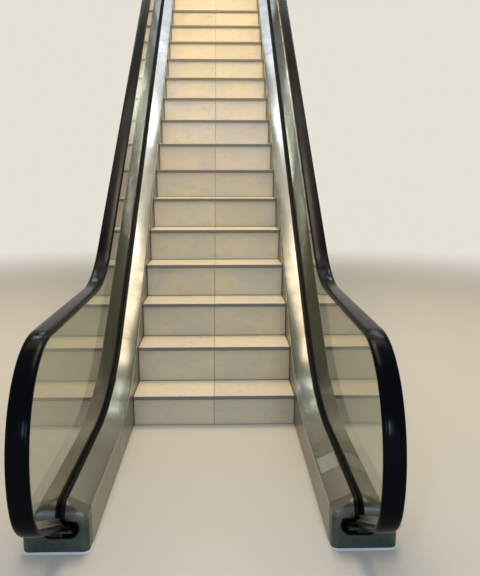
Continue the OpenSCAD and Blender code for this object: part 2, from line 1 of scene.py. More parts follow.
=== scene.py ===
"""Looks of a disused escalator with a tiled stair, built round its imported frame.

Lengths are in metres, with +Y up the flight and +Z up, as in the frame.
"""
import logging
import math
import random
from dataclasses import dataclass, field
from enum import Enum, IntEnum
from typing import Any, Iterator, Sequence

import bmesh
import bpy
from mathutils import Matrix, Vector


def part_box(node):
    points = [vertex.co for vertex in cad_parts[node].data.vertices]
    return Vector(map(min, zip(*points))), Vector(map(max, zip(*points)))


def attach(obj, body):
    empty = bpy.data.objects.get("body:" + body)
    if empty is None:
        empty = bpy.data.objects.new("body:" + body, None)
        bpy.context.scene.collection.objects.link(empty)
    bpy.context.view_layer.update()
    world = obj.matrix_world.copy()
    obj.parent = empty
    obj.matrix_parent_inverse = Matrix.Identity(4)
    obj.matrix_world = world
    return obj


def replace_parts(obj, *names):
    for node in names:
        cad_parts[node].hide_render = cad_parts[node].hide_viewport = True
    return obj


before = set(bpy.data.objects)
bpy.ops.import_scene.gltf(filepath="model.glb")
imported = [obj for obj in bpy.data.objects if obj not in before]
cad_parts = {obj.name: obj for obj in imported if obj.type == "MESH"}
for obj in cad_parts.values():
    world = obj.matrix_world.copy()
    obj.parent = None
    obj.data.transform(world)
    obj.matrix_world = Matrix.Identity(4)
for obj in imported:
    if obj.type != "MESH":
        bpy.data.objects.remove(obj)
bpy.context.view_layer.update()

ROOT = "root"
MM = 0.001
LOG = logging.getLogger("escalator")
# Names of the two layers that meshes carry for their materials
UV_NAME = "length_and_girth"
SHADE_NAME = "piece_shade"

Point = tuple[float, float]
# A place on a path: y, z, and its turn from level
Station = tuple[float, float, float]
Colour = tuple[float, float, float, float]


class Side(IntEnum):
    """The side of the flight that a piece stands on, seen by a person who climbs."""

    LEFT = -1
    RIGHT = 1

    @property
    def word(self) -> str:
        """The side's name, as the frame's node names end."""
        return self.name.lower()


class End(Enum):
    """The end of the flight that a piece stands at."""

    LOWER = "lower"
    UPPER = "upper"


class MixSocket(IntEnum):
    """Sockets of a colour Mix node, whose names repeat for each data type."""

    FACTOR = 0
    A = 6
    B = 7
    RESULT = 2


# Settings of a Mix node that blends two colours, and of one that multiplies them
BLEND = {"data_type": "RGBA"}
MULTIPLY = {"data_type": "RGBA", "blend_type": "MULTIPLY", MixSocket.FACTOR: 1.0}


def srgb(code: str) -> Colour:
    """Turns a colour as written into the linear values that a shader takes.

    Args:
        code: Six hex digits with a leading hash.

    Returns:
        Linear red, green, blue and an alpha of 1.
    """
    values = [int(code[i:i + 2], 16) / 255 for i in (1, 3, 5)]
    linear = [v / 12.92 if v <= 0.04045 else ((v + 0.055) / 1.055) ** 2.4 for v in values]
    return linear[0], linear[1], linear[2], 1.0


def add_node(tree: bpy.types.NodeTree, kind: str, settings: dict[Any, Any] | None = None,
             links: dict[Any, bpy.types.NodeSocket] | None = None) -> bpy.types.Node:
    """Adds one shader node.

    Args:
        tree: The tree that takes the node.
        kind: Blender's type name without its "ShaderNode" prefix.
        settings: Properties by name, and input values by socket name or number.
        links: Sockets of other nodes, by the name or number of the input they feed.

    Returns:
        The new node.
    """
    node = tree.nodes.new("ShaderNode" + kind)
    for name, value in (settings or {}).items():
        if isinstance(name, str) and hasattr(node, name):
            setattr(node, name, value)
        else:
            node.inputs[name].default_value = value
    for name, socket in (links or {}).items():
        tree.links.new(socket, node.inputs[name])
    return node


@dataclass(frozen=True)
class Finish:
    """What a piece is made of and how its surface was made."""

    name: str
    colour: str

    def material(self) -> bpy.types.Material:
        """Builds the material, or finds it if it is built.

        Returns:
            The material.
        """
        made = bpy.data.materials.get(self.name)
        if made:
            return made
        made = bpy.data.materials.new(self.name)
        made.use_nodes = True
        shader = made.node_tree.nodes["Principled BSDF"]
        shader.inputs["Base Color"].default_value = srgb(self.colour)
        self.dress(made.node_tree, shader)
        return made

    def dress(self, tree: bpy.types.NodeTree, shader: bpy.types.Node) -> None:
        """Adds the finish's own nodes."""

    def place(self, tree: bpy.types.NodeTree, scale: Sequence[float] = (1, 1, 1)) -> bpy.types.NodeSocket:
        """Gives the position on the object.

        Args:
            tree: The material's tree.
            scale: Pattern repeats in a metre along each axis.

        Returns:
            The socket of the scaled position.
        """
        where = add_node(tree, "TexCoord")
        mapping = add_node(tree, "Mapping", {"Scale": scale}, {"Vector": where.outputs["Object"]})
        return mapping.outputs["Vector"]

    def along(self, tree: bpy.types.NodeTree, scale: Sequence[float]) -> bpy.types.NodeSocket:
        """Gives the length and girth along a rolled piece.

        Args:
            tree: The material's tree.
            scale: Pattern repeats in a metre along the length and round the girth.

        Returns:
            The socket of the scaled place.
        """
        where = add_node(tree, "UVMap", {"uv_map": UV_NAME})
        mapping = add_node(tree, "Mapping", {"Scale": scale}, {"Vector": where.outputs["UV"]})
        return mapping.outputs["Vector"]


@dataclass(frozen=True)
class GlazedTile(Finish):
    """Glazed floor tile: clay body under a satin glaze, dulled by feet."""

    cloud: str = "#cdc6b1"
    scuff: str = "#8c8672"
    # Colour that the corners darken towards: grime, and painted shade in corners and under the nosings
    grime: str = "#5a5140"
    cloud_size: float = 240 * MM
    scuff_size: float = 45 * MM
    scuff_amount: float = 0.22
    speck_size: float = 2.2 * MM
    ripple_depth: float = 0.4 * MM
    corner_depth: float = 14 * MM
    roughness: float = 0.2
    scuff_roughness: float = 0.2

    def dress(self, tree: bpy.types.NodeTree, shader: bpy.types.Node) -> None:
        """Clouds the glaze, shades each tile a little, scuffs it, and darkens it in corners with grime and
        painted shade.

        Args:
            tree: The material's tree.
            shader: Its surface shader.
        """
        where = self.place(tree)
        cloud = add_node(tree, "TexNoise", {"Scale": 1 / self.cloud_size, "Detail": 3.0}, {"Vector": where})
        drift = add_node(tree, "MapRange", {"From Min": 0.35, "From Max": 0.7, "To Max": 0.7},
                         {"Value": cloud.outputs["Fac"]})
        body = add_node(tree, "Mix", BLEND | {MixSocket.A: srgb(self.colour), MixSocket.B: srgb(self.cloud)},
                        {MixSocket.FACTOR: drift.outputs["Result"]})
        shade = add_node(tree, "Attribute", {"attribute_name": SHADE_NAME})
        tinted = add_node(tree, "Mix", MULTIPLY,
                          {MixSocket.A: body.outputs[MixSocket.RESULT], MixSocket.B: shade.outputs["Color"]})
        rub = add_node(tree, "TexNoise", {"Scale": 1 / self.scuff_size, "Detail": 6.0, "Roughness": 0.7},
                       {"Vector": self.place(tree, (0.4, 1.0, 1.0))})
        worn = add_node(tree, "MapRange", {"From Min": 0.52, "From Max": 0.78, "To Max": self.scuff_amount},
                        {"Value": rub.outputs["Fac"]})
        scuffed = add_node(tree, "Mix", BLEND | {MixSocket.B: srgb(self.scuff)},
                           {MixSocket.FACTOR: worn.outputs["Result"],
                            MixSocket.A: tinted.outputs[MixSocket.RESULT]})
        # Painted shade and grime: ambient occlusion darkens the colour in corners, under the nosings and
        # between parts
        corner = add_node(tree, "AmbientOcclusion", {"samples": 8, "Distance": self.corner_depth})
        corner_grime_and_shade = add_node(tree, "MapRange", {"From Min": 0.2, "From Max": 0.9, "To Min": 0.6, "To Max": 0.0},
                        {"Value": corner.outputs["AO"]})
        final = add_node(tree, "Mix", BLEND | {MixSocket.B: srgb(self.grime)},
                         {MixSocket.FACTOR: corner_grime_and_shade.outputs["Result"],
                          MixSocket.A: scuffed.outputs[MixSocket.RESULT]})
        tree.links.new(final.outputs[MixSocket.RESULT], shader.inputs["Base Color"])
        dull = add_node(tree, "MapRange",
                        {"To Min": self.roughness, "To Max": self.roughness + self.scuff_roughness},
                        {"Value": rub.outputs["Fac"]})
        tree.links.new(dull.outputs["Result"], shader.inputs["Roughness"])
        speck = add_node(tree, "TexNoise", {"Scale": 1 / self.speck_size, "Detail": 2.0}, {"Vector": where})
        ripple = add_node(tree, "Bump", {"Strength": 0.05, "Distance": self.ripple_depth},
                          {"Height": speck.outputs["Fac"]})
        tree.links.new(ripple.outputs["Normal"], shader.inputs["Normal"])


@dataclass(frozen=True)
class Mortar(Finish):
    """Cement mortar: rough and matt, stained where it meets a tile."""

    stain: str = "#55564b"
    grain: float = 3 * MM
    grain_depth: float = 0.6 * MM
    roughness: float = 0.85

    def dress(self, tree: bpy.types.NodeTree, shader: bpy.types.Node) -> None:
        """Blotches the cement and roughens it.

        Args:
            tree: The material's tree.
            shader: Its surface shader.
        """
        shader.inputs["Roughness"].default_value = self.roughness
        grain = add_node(tree, "TexNoise", {"Scale": 1 / self.grain, "Detail": 6.0},
                         {"Vector": self.place(tree)})
        mix = add_node(tree, "Mix", BLEND | {MixSocket.A: srgb(self.colour), MixSocket.B: srgb(self.stain)},
                       {MixSocket.FACTOR: grain.outputs["Fac"]})
        tree.links.new(mix.outputs[MixSocket.RESULT], shader.inputs["Base Color"])
        bump = add_node(tree, "Bump", {"Strength": 0.5, "Distance": self.grain_depth},
                        {"Height": grain.outputs["Fac"]})
        tree.links.new(bump.outputs["Normal"], shader.inputs["Normal"])


@dataclass(frozen=True)
class BrushedSteel(Finish):
    """Stainless sheet brushed along its length: fine lines, long soft highlights."""

    smear: str = "#8a867a"
    # Darker colour at both ends: painted reflection of dim surroundings mirrored there
    painted_dim_reflection: str = "#9f9d8f"
    roughness: float = 0.1
    smear_amount: float = 0.45
    # Brush lines are about 0.1 mm apart. They are drawn 1.5 mm apart, to show in a render.
    line_pitch: float = 1.5 * MM
    line_length: float = 400 * MM
    line_depth: float = 0.2 * MM
    anisotropy: float = 0.5
    smear_size: float = 220 * MM
    smear_roughness: float = 0.12
    # Both ends are painted darker, a painted reflection of dim surroundings, and made rougher, as shoes and
    # hands dull them, past these distances from the middle of the flight.
    middle: float = 3.75
    bright_to: float = 3.55
    dull_from: float = 4.0
    dull_roughness: float = 0.08
    # How far the noise of the smears shifts that edge at most, and on average
    patch: float = 0.5
    patch_mean: float = 0.2

    def dress(self, tree: bpy.types.NodeTree, shader: bpy.types.Node) -> None:
        """Draws brush lines, smears, and at both ends a painted reflection: a darker colour, with more
        roughness.

        Args:
            tree: The material's tree.
            shader: Its surface shader.
        """
        shader.inputs["Metallic"].default_value = 1.0
        shader.inputs["Anisotropic"].default_value = self.anisotropy
        lines = add_node(tree, "TexNoise", {"Scale": 1.0, "Detail": 3.0, "Roughness": 0.6},
                         {"Vector": self.along(tree, (1 / self.line_length, 1 / self.line_pitch, 1.0))})
        smear = add_node(tree, "TexNoise", {"Scale": 1 / self.smear_size, "Detail": 6.0, "Roughness": 0.68},
                         {"Vector": self.place(tree)})
        amount = add_node(tree, "MapRange", {"From Min": 0.4, "From Max": 0.75, "To Max": self.smear_amount},
                          {"Value": smear.outputs["Fac"]})
        sheet = add_node(tree, "Mix", BLEND | {MixSocket.A: srgb(self.colour), MixSocket.B: srgb(self.smear)},
                         {MixSocket.FACTOR: amount.outputs["Result"]})
        dull = self.painted_dark_rough_ends(tree, smear.outputs["Fac"])
        # Painted reflection: the sheet is mixed towards a darker colour at both ends
        with_painted_reflection = add_node(tree, "Mix", BLEND | {MixSocket.B: srgb(self.painted_dim_reflection)},
                             {MixSocket.FACTOR: dull, MixSocket.A: sheet.outputs[MixSocket.RESULT]})
        streak = add_node(tree, "MapRange", {"To Min": 0.88, "To Max": 1.08}, {"Value": lines.outputs["Fac"]})
        streaked = add_node(tree, "Mix", MULTIPLY, {MixSocket.A: with_painted_reflection.outputs[MixSocket.RESULT],
                                                    MixSocket.B: streak.outputs["Result"]})
        tree.links.new(streaked.outputs[MixSocket.RESULT], shader.inputs["Base Color"])
        matt = add_node(tree, "MapRange",
                        {"To Min": self.roughness, "To Max": self.roughness + self.smear_roughness},
                        {"Value": smear.outputs["Fac"]})
        rough = add_node(tree, "Math", {"operation": "MULTIPLY_ADD", 1: self.dull_roughness},
                         {0: dull, 2: matt.outputs["Result"]})
        tree.links.new(rough.outputs["Value"], shader.inputs["Roughness"])
        bump = add_node(tree, "Bump", {"Strength": 0.04, "Distance": self.line_depth},
                        {"Height": lines.outputs["Fac"]})
        tree.links.new(bump.outputs["Normal"], shader.inputs["Normal"])
        grain = add_node(tree, "Tangent", {"direction_type": "UV_MAP", "uv_map": UV_NAME})
        tree.links.new(grain.outputs["Tangent"], shader.inputs["Tangent"])

    def painted_dark_rough_ends(self, tree: bpy.types.NodeTree, patches: bpy.types.NodeSocket) -> bpy.types.NodeSocket:
        """Gives how far the sheet is painted darker, as painted reflection, and made rougher: 0 on the climb,
        1 at both ends, and patchy between.

        Args:
            tree: The material's tree.
            patches: A noise that breaks up the change.

        Returns:
            The socket of that share.
        """
        place = add_node(tree, "SeparateXYZ", {}, {"Vector": self.along(tree, (1, 1, 1))})
        past = add_node(tree, "Math", {"operation": "SUBTRACT", 1: self.middle}, {0: place.outputs["X"]})
        away = add_node(tree, "Math", {"operation": "ABSOLUTE"}, {0: past.outputs["Value"]})
        patchy = add_node(tree, "Math", {"operation": "MULTIPLY_ADD", 1: self.patch},
                          {0: patches, 2: away.outputs["Value"]})
        dull = add_node(tree, "MapRange", {"From Min": self.bright_to + self.patch_mean,
                                           "From Max": self.dull_from + self.patch_mean},
                        {"Value": patchy.outputs["Value"]})
        return dull.outputs["Result"]


@dataclass(frozen=True)
class NewelPlate(Finish):
    """Stainless end plate: brushed where the deck runs over it, black with grime in front."""

    top: str = "#6c6b62"
    grime: str = "#39403d"
    # The floor that the plate stands on, and the height of the lip over its inlet
    floor: float = 0.0
    lip: float = 150 * MM
    grime_size: float = 70 * MM
    # The brush lines, as coarse as on the decking
    line_pitch: float = 1.5 * MM
    line_length: float = 400 * MM
    line_depth: float = 0.2 * MM

    def dress(self, tree: bpy.types.NodeTree, shader: bpy.types.Node) -> None:
        """Parts the bright top from the grimy front at the lip, and clouds both.

        Args:
            tree: The material's tree.
            shader: Its surface shader.
        """
        shader.inputs["Metallic"].default_value = 1.0
        where = self.place(tree)
        place = add_node(tree, "SeparateXYZ", {}, {"Vector": where})
        lip = self.floor + self.lip
        over = add_node(tree, "MapRange", {"From Min": lip - 4 * MM, "From Max": lip + 10 * MM},
                        {"Value": place.outputs["Z"]})
        cloud = add_node(tree, "TexNoise", {"Scale": 1 / self.grime_size, "Detail": 7.0, "Roughness": 0.7},
                         {"Vector": where})
        amount = add_node(tree, "MapRange", {"From Min": 0.35, "From Max": 0.75, "To Max": 0.8},
                          {"Value": cloud.outputs["Fac"]})
        front = add_node(tree, "Mix", BLEND | {MixSocket.A: srgb(self.colour), MixSocket.B: srgb(self.grime)},
                         {MixSocket.FACTOR: amount.outputs["Result"]})
        both = add_node(tree, "Mix", BLEND | {MixSocket.B: srgb(self.top)},
                        {MixSocket.FACTOR: over.outputs["Result"],
                         MixSocket.A: front.outputs[MixSocket.RESULT]})
        tree.links.new(both.outputs[MixSocket.RESULT], shader.inputs["Base Color"])
        rough = add_node(tree, "MapRange", {"To Min": 0.34, "To Max": 0.5}, {"Value": cloud.outputs["Fac"]})
        tree.links.new(rough.outputs["Result"], shader.inputs["Roughness"])
        across, along = 1 / self.line_pitch, 1 / self.line_length
        lines = add_node(tree, "TexNoise", {"Scale": 1.0, "Detail": 3.0},
                         {"Vector": self.place(tree, (across, along, across))})
        bump = add_node(tree, "Bump", {"Strength": 0.08, "Distance": self.line_depth},
                        {"Height": lines.outputs["Fac"]})
        tree.links.new(bump.outputs["Normal"], shader.inputs["Normal"])


@dataclass(frozen=True)
class SheetMetal(Finish):
    """Rolled metal with a coat or a mill finish: even, a little dusty."""

    dust: str = "#8b8778"
    metallic: float = 0.0
    roughness: float = 0.45
    dust_amount: float = 0.35
    dust_size: float = 160 * MM
    # Orange peel in a sprayed coat is 1 to 3 mm across.
    peel: float = 2.5 * MM
    peel_depth: float = 0.15 * MM

    def dress(self, tree: bpy.types.NodeTree, shader: bpy.types.Node) -> None:
        """Lays dust in clouds over the coat and gives it orange peel.

        Args:
            tree: The material's tree.
            shader: Its surface shader.
        """
        shader.inputs["Metallic"].default_value = self.metallic
        where = self.place(tree)
        cloud = add_node(tree, "TexNoise", {"Scale": 1 / self.dust_size, "Detail": 7.0, "Roughness": 0.65},
                         {"Vector": where})
        amount = add_node(tree, "MapRange", {"From Min": 0.4, "From Max": 0.8, "To Max": self.dust_amount},
                          {"Value": cloud.outputs["Fac"]})
        mix = add_node(tree, "Mix", BLEND | {MixSocket.A: srgb(self.colour), MixSocket.B: srgb(self.dust)},
                       {MixSocket.FACTOR: amount.outputs["Result"]})
        tree.links.new(mix.outputs[MixSocket.RESULT], shader.inputs["Base Color"])
        rough = add_node(tree, "MapRange", {"To Min": self.roughness - 0.08, "To Max": self.roughness + 0.15},
                         {"Value": cloud.outputs["Fac"]})
        tree.links.new(rough.outputs["Result"], shader.inputs["Roughness"])
        peel = add_node(tree, "TexNoise", {"Scale": 1 / self.peel, "Detail": 1.0}, {"Vector": where})
        bump = add_node(tree, "Bump", {"Strength": 0.08, "Distance": self.peel_depth},
                        {"Height": peel.outputs["Fac"]})
        tree.links.new(bump.outputs["Normal"], shader.inputs["Normal"])


@dataclass(frozen=True)
class Rubber(Finish):
    """Moulded black rubber: deep black with a broad sheen, greyer where dust lies."""

    dust: str = "#4a4a44"
    roughness: float = 0.3
    dust_amount: float = 0.25
    dust_size: float = 1000 / 9 * MM
    scuff_size: float = 1000 / 260 * MM
    scuff_depth: float = 0.2 * MM
    gloss: float = 0.5
    ior: float = 1.52

    def dress(self, tree: bpy.types.NodeTree, shader: bpy.types.Node) -> None:
        """Rubs the surface unevenly, with dust in clouds.

        Args:
            tree: The material's tree.
            shader: Its surface shader.
        """
        shader.inputs["IOR"].default_value = self.ior
        shader.inputs["Specular IOR Level"].default_value = self.gloss
        where = self.place(tree)
        cloud = add_node(tree, "TexNoise", {"Scale": 1 / self.dust_size, "Detail": 7.0, "Roughness": 0.7},
                         {"Vector": where})
        amount = add_node(tree, "MapRange", {"From Min": 0.5, "From Max": 0.8, "To Max": self.dust_amount},
                          {"Value": cloud.outputs["Fac"]})
        mix = add_node(tree, "Mix", BLEND | {MixSocket.A: srgb(self.colour), MixSocket.B: srgb(self.dust)},
                       {MixSocket.FACTOR: amount.outputs["Result"]})
        tree.links.new(mix.outputs[MixSocket.RESULT], shader.inputs["Base Color"])
        rough = add_node(tree, "MapRange", {"To Min": self.roughness - 0.08, "To Max": self.roughness + 0.16},
                         {"Value": cloud.outputs["Fac"]})
        tree.links.new(rough.outputs["Result"], shader.inputs["Roughness"])
        scuff = add_node(tree, "TexNoise", {"Scale": 1 / self.scuff_size, "Detail": 3.0}, {"Vector": where})
        bump = add_node(tree, "Bump", {"Strength": 0.008, "Distance": self.scuff_depth},
                        {"Height": scuff.outputs["Fac"]})
        tree.links.new(bump.outputs["Normal"], shader.inputs["Normal"])


@dataclass(frozen=True)
class ToughenedGlass(Finish):
    """Float glass, toughened: clear, with a green cast through its iron."""

    smear_size: float = 400 * MM
    ior: float = 1.52

    def dress(self, tree: bpy.types.NodeTree, shader: bpy.types.Node) -> None:
        """Makes the pane clear, with faint smears that blur it.

        Args:
            tree: The material's tree.
            shader: Its surface shader.
        """
        shader.inputs["Transmission Weight"].default_value = 1.0
        shader.inputs["IOR"].default_value = self.ior
        smear = add_node(tree, "TexNoise", {"Scale": 1 / self.smear_size, "Detail": 2.0},
                         {"Vector": self.place(tree)})
        rough = add_node(tree, "MapRange", {"From Min": 0.45, "From Max": 0.8, "To Max": 0.05},
                         {"Value": smear.outputs["Fac"]})
        tree.links.new(rough.outputs["Result"], shader.inputs["Roughness"])


@dataclass(frozen=True)
class Bristle(Finish):
    """Nylon monofilament: grey with dust, a soft sheen along each bristle."""

    def dress(self, tree: bpy.types.NodeTree, shader: bpy.types.Node) -> None:
        """Varies the grey from bristle to bristle.

        Args:
            tree: The material's tree.
            shader: Its surface shader.
        """
        shader.inputs["Roughness"].default_value = 0.5
        shade = add_node(tree, "Attribute", {"attribute_name": SHADE_NAME})
        tinted = add_node(tree, "Mix", MULTIPLY | {MixSocket.A: srgb(self.colour)},
                          {MixSocket.B: shade.outputs["Color"]})
        tree.links.new(tinted.outputs[MixSocket.RESULT], shader.inputs["Base Color"])


# Glazed ceramic, cream: warm and bright on the treads, where light falls from above.
TREAD_TILE = GlazedTile("cream_glazed_ceramic", "#e0cfa9")
# The same tile set upright, painted greyer as painted shade, since the risers get less of the light from
# above, and with more shoe marks.
SHADED_RISER_TILE = GlazedTile("riser_ceramic_painted_shade", "#d8c8a2", cloud="#c3bdaa", scuff_amount=0.3)
# Cement under the tiles and over their cut edges: the grey band below each tread.
BED_MORTAR = Mortar("cement_mortar", "#969180")
# 304 stainless, brushed along its length: silver that takes on the colour of what it mirrors.
DECK_STEEL = BrushedSteel("brushed_stainless_decking", "#d6d7d2")
# The same sheet on the skirts, rubbed dull by shoes.
SKIRT_STEEL = BrushedSteel("scuffed_stainless_skirt", "#979890", roughness=0.3, smear_amount=0.75)
# Stainless plate at both feet, dark with grime below the lip.
LOWER_PLATE = NewelPlate("grimy_stainless_newel_plate", "#57665f")
UPPER_PLATE = NewelPlate("stainless_landing_newel_plate", "#6d7876",
                         floor=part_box("upper_newel_cap_left")[0].z)
# Foil tape over a dent in the deck: crinkled, a little brighter than the sheet.
FOIL_TAPE = SheetMetal("aluminium_foil_tape", "#a9aaa0", dust="#7d7c70", metallic=0.8, roughness=0.38)
# Cover strip over a joint in the deck.
COVER_STRIP = SheetMetal("stainless_cover_strip", "#8f8d82", metallic=1.0, roughness=0.3)
# Mastic along the foot of the lower plates: a thin pale line at the floor.
MASTIC = SheetMetal("white_mastic", "#c3c8c4", dust="#8f948f", roughness=0.6, peel=6 * MM)
# Woven lining of the handrail, which shows where its lip is torn.
BELT_LINING = SheetMetal("torn_cotton_lining", "#d9d6cc", roughness=0.8)
# Drawn stainless profile: the bright line under the handrail.
GUIDE_STEEL = SheetMetal("drawn_stainless_guide", "#a3a59f", dust="#4a4a40", metallic=1.0, roughness=0.28,
                         dust_amount=0.6)
# Extruded aluminium of the glass clamp.
CLAMP_ALUMINIUM = SheetMetal("extruded_aluminium", "#b2b4b5", metallic=1.0, roughness=0.4)
# Die-cast aluminium of the steps.
STEP_ALUMINIUM = SheetMetal("die_cast_aluminium", "#7d7f81", metallic=0.9, roughness=0.5)
# Grey oxide primer on the truss's steel.
TRUSS_PRIMER = SheetMetal("grey_primed_steel", "#6c7276", roughness=0.6)
# Powder-coated steel sheet of the sides and the soffit.
CLADDING_COAT = SheetMetal("powder_coated_sheet", "#a9adad", roughness=0.42)
# Handrail rubber, polished by hands: near black, with small clear highlights.
HANDRAIL_RUBBER = Rubber("polished_handrail_rubber", "#07090b", dust="#14160f", roughness=0.15, gloss=0.03,
                         dust_amount=0.35)
# Extruded gasket rubber: black, satin.
GASKET_RUBBER = Rubber("extruded_gasket_rubber", "#0a0c0d", dust="#1d1e1a", roughness=0.4, gloss=0.06)
# Toughened float glass, yellowed by old film and dust.
PANE_GLASS = ToughenedGlass("toughened_float_glass", "#bdc0ae")
# Nylon brush in the handrail inlet.
INLET_BRUSH = Bristle("nylon_bristle", "#5d5c50")


@dataclass(frozen=True)
class GuideLine:
    """The line that every long piece follows: level, a bend, the climb, a bend, level.

    A place on it is a distance s from the start of the lower bend, and e is a
    height square to it.
    """

    incline: float = math.radians(35)
    step_pitch: float = 405 * MM
    full_risers: int = 17
    end_rise: float = 192 * MM
    guide_drop: float = 133 * MM
    low_radius: float = 1800 * MM
    high_radius: float = 1000 * MM
    foot_reach: float = 1530 * MM
    # The first riser's face, and the face of the right-hand skirt
    riser_y: float = field(default_factory=lambda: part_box("riser_tiles")[0].y)
    skirt_x: float = field(default_factory=lambda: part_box("skirt_right")[0].x)

    @property
    def rise(self) -> float:
        """Height of a full riser."""
        return self.step_pitch * math.sin(self.incline)

    @property
    def going(self) -> float:
        """Depth of a tread from riser to riser."""
        return self.step_pitch * math.cos(self.incline)

    @property
    def risers(self) -> int:
        """Number of risers."""
        return self.full_risers + 2

    @property
    def total_rise(self) -> float:
        """Height of the upper floor."""
        return 2 * self.end_rise + self.full_risers * self.rise

    @property
    def landing_y(self) -> float:
        """Face of the last riser."""
        return self.riser_y + (self.risers - 1) * self.going

    @property
    def foot_y(self) -> float:
        """Front of the lower feet."""
        return self.riser_y - self.foot_reach

    @property
    def head_y(self) -> float:
        """Far side of the upper feet."""
        return self.landing_y + self.foot_reach

    @property
    def low_y(self) -> float:
        """Where the climb's line meets the lower floor."""
        return self.riser_y - (self.end_rise - self.guide_drop) / math.tan(self.incline)

    @property
    def high_y(self) -> float:
        """Where the climb's line meets the upper floor."""
        return self.low_y + self.total_rise / math.tan(self.incline)

    @property
    def low_tangent(self) -> float:
        """Distance from that corner to the lower bend's ends."""
        return self.low_radius * math.tan(self.incline / 2)

    @property
    def high_tangent(self) -> float:
        """Distance from the upper corner to the upper bend's ends."""
        return self.high_radius * math.tan(self.incline / 2)

    @property
    def climb_at(self) -> float:
        """Distance at which the climb starts."""
        return self.low_radius * self.incline

    @property
    def crest_at(self) -> float:
        """Distance at which the upper bend starts."""
        climb = (self.high_y - self.low_y) / math.cos(self.incline)
        return self.climb_at + climb - self.low_tangent - self.high_tangent

    @property
    def level_at(self) -> float:
        """Distance at which the upper level stretch starts."""
        return self.crest_at + self.high_radius * self.incline

    @property
    def foot_at(self) -> float:
        """Distance of the lower feet's front."""
        return self.foot_y - (self.low_y - self.low_tangent)

    @property
    def head_at(self) -> float:
        """Distance of the upper feet's far side."""
        return self.level_at + self.head_y - (self.high_y + self.high_tangent)

    def at(self, s: float) -> Station:
        """Gives a place on the line.

        Args:
            s: Distance from the start of the lower bend.

        Returns:
            Its y, its z and the angle of climb there.
        """
        if s <= 0:
            return self.low_y - self.low_tangent + s, 0.0, 0.0
        if s <= self.climb_at:
            a = s / self.low_radius
            return (self.low_y - self.low_tangent + self.low_radius * math.sin(a),
                    self.low_radius * (1 - math.cos(a)), a)
        if s <= self.crest_at:
            run = self.low_tangent + s - self.climb_at
            return self.low_y + run * math.cos(self.incline), run * math.sin(self.incline), self.incline
        if s <= self.level_at:
            a = (self.level_at - s) / self.high_radius
            return (self.high_y + self.high_tangent - self.high_radius * math.sin(a),
                    self.total_rise - self.high_radius * (1 - math.cos(a)), a)
        return self.high_y + self.high_tangent + s - self.level_at, self.total_rise, 0.0

    def lifted(self, s: float, e: float) -> Station:
        """Gives y, z and the angle at height e over distance s."""
        y, z, a = self.at(s)
        return y - e * math.sin(a), z + e * math.cos(a), a

    def rings(self, start: float, end: float, bend_step: float = math.radians(1.5)) -> list[float]:
        """Lists the distances at which a piece from start to end needs a ring.

        Args:
            start: First distance.
            end: Last distance.
            bend_step: Angle between rings in a bend.

        Returns:
            Distances in rising order, with both ends.
        """
        count = math.ceil(self.incline / bend_step)
        marks = [self.climb_at * i / count for i in range(count + 1)]
        marks += [self.crest_at + (self.level_at - self.crest_at) * i / count for i in range(count + 1)]
        return [start] + [s for s in marks if start < s < end] + [end]

    def lengths(self, start: float, end: float, climbing: int, gap: float) -> Iterator[tuple[float, float]]:
        """Gives the ends of each length of a piece that is jointed at the bends.

        Args:
            start: First distance.
            end: Last distance.
            climbing: Number of equal lengths on the climb.
            gap: Gap between two lengths.

        Yields:
            Start and end distance of each length.
        """
        run = (self.crest_at - self.climb_at) / climbing
        cuts = [start, 0.0] + [self.climb_at + i * run for i in range(climbing + 1)] + [self.level_at, end]
        for a, b in zip(cuts, cuts[1:]):
            yield (a if a == start else a + gap / 2), (b if b == end else b - gap / 2)


def mesh_piece(name: str, points: Sequence[Sequence[float]], faces: Sequence[Sequence[int]], finish: Finish,
               smooth: bool = True, uv: Sequence[Sequence[Point]] | None = None,
               shades: Sequence[float] | None = None) -> bpy.types.Object:
    """Makes a piece from points and faces, and puts it on the part.

    Args:
        name: The piece's name.
        points: Its points.
        faces: Point numbers of each face.
        finish: What it is made of.
        smooth: Whether its faces are shaded smooth.
        uv: For each face, the texture place of each corner.
        shades: For each face, how light it is next to its neighbours.

    Returns:
        The new object.
    """
    mesh = bpy.data.meshes.new(name)
    mesh.from_pydata(points, [], faces)
    mesh.materials.append(finish.material())
    if uv is not None:
        layer = mesh.uv_layers.new(name=UV_NAME)
        flat = [c for corners in uv for place in corners for c in place]
        layer.data.foreach_set("uv", flat)
    if shades is not None:
        layer = mesh.color_attributes.new(SHADE_NAME, "FLOAT_COLOR", "CORNER")
        flat = [v for face, shade in zip(faces, shades) for _ in face for v in (shade, shade, shade, 1.0)]
        layer.data.foreach_set("color", flat)
    build = bmesh.new()
    build.from_mesh(mesh)
    bmesh.ops.recalc_face_normals(build, faces=build.faces)
    build.to_mesh(mesh)
    build.free()
    if smooth:
        mesh.shade_smooth()
        mesh.set_sharp_from_angle(angle=math.radians(35))
    piece = bpy.data.objects.new(name, mesh)
    bpy.context.scene.collection.objects.link(piece)
    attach(piece, ROOT)
    LOG.info("made %s: %d points", name, len(points))
    return piece


def dress_node(node: str, finish: Finish) -> None:
    """Gives a node of the frame its finish."""
    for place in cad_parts[node].material_slots:
        place.material = finish.material()


def box_faces(at: int) -> list[tuple[int, ...]]:
    """Gives the six faces of a box whose eight corners start at a point number."""
    quads = ((0, 1, 3, 2), (4, 6, 7, 5), (0, 4, 5, 1), (2, 3, 7, 6), (0, 2, 6, 4), (1, 5, 7, 3))
    return [tuple(at + i for i in quad) for quad in quads]


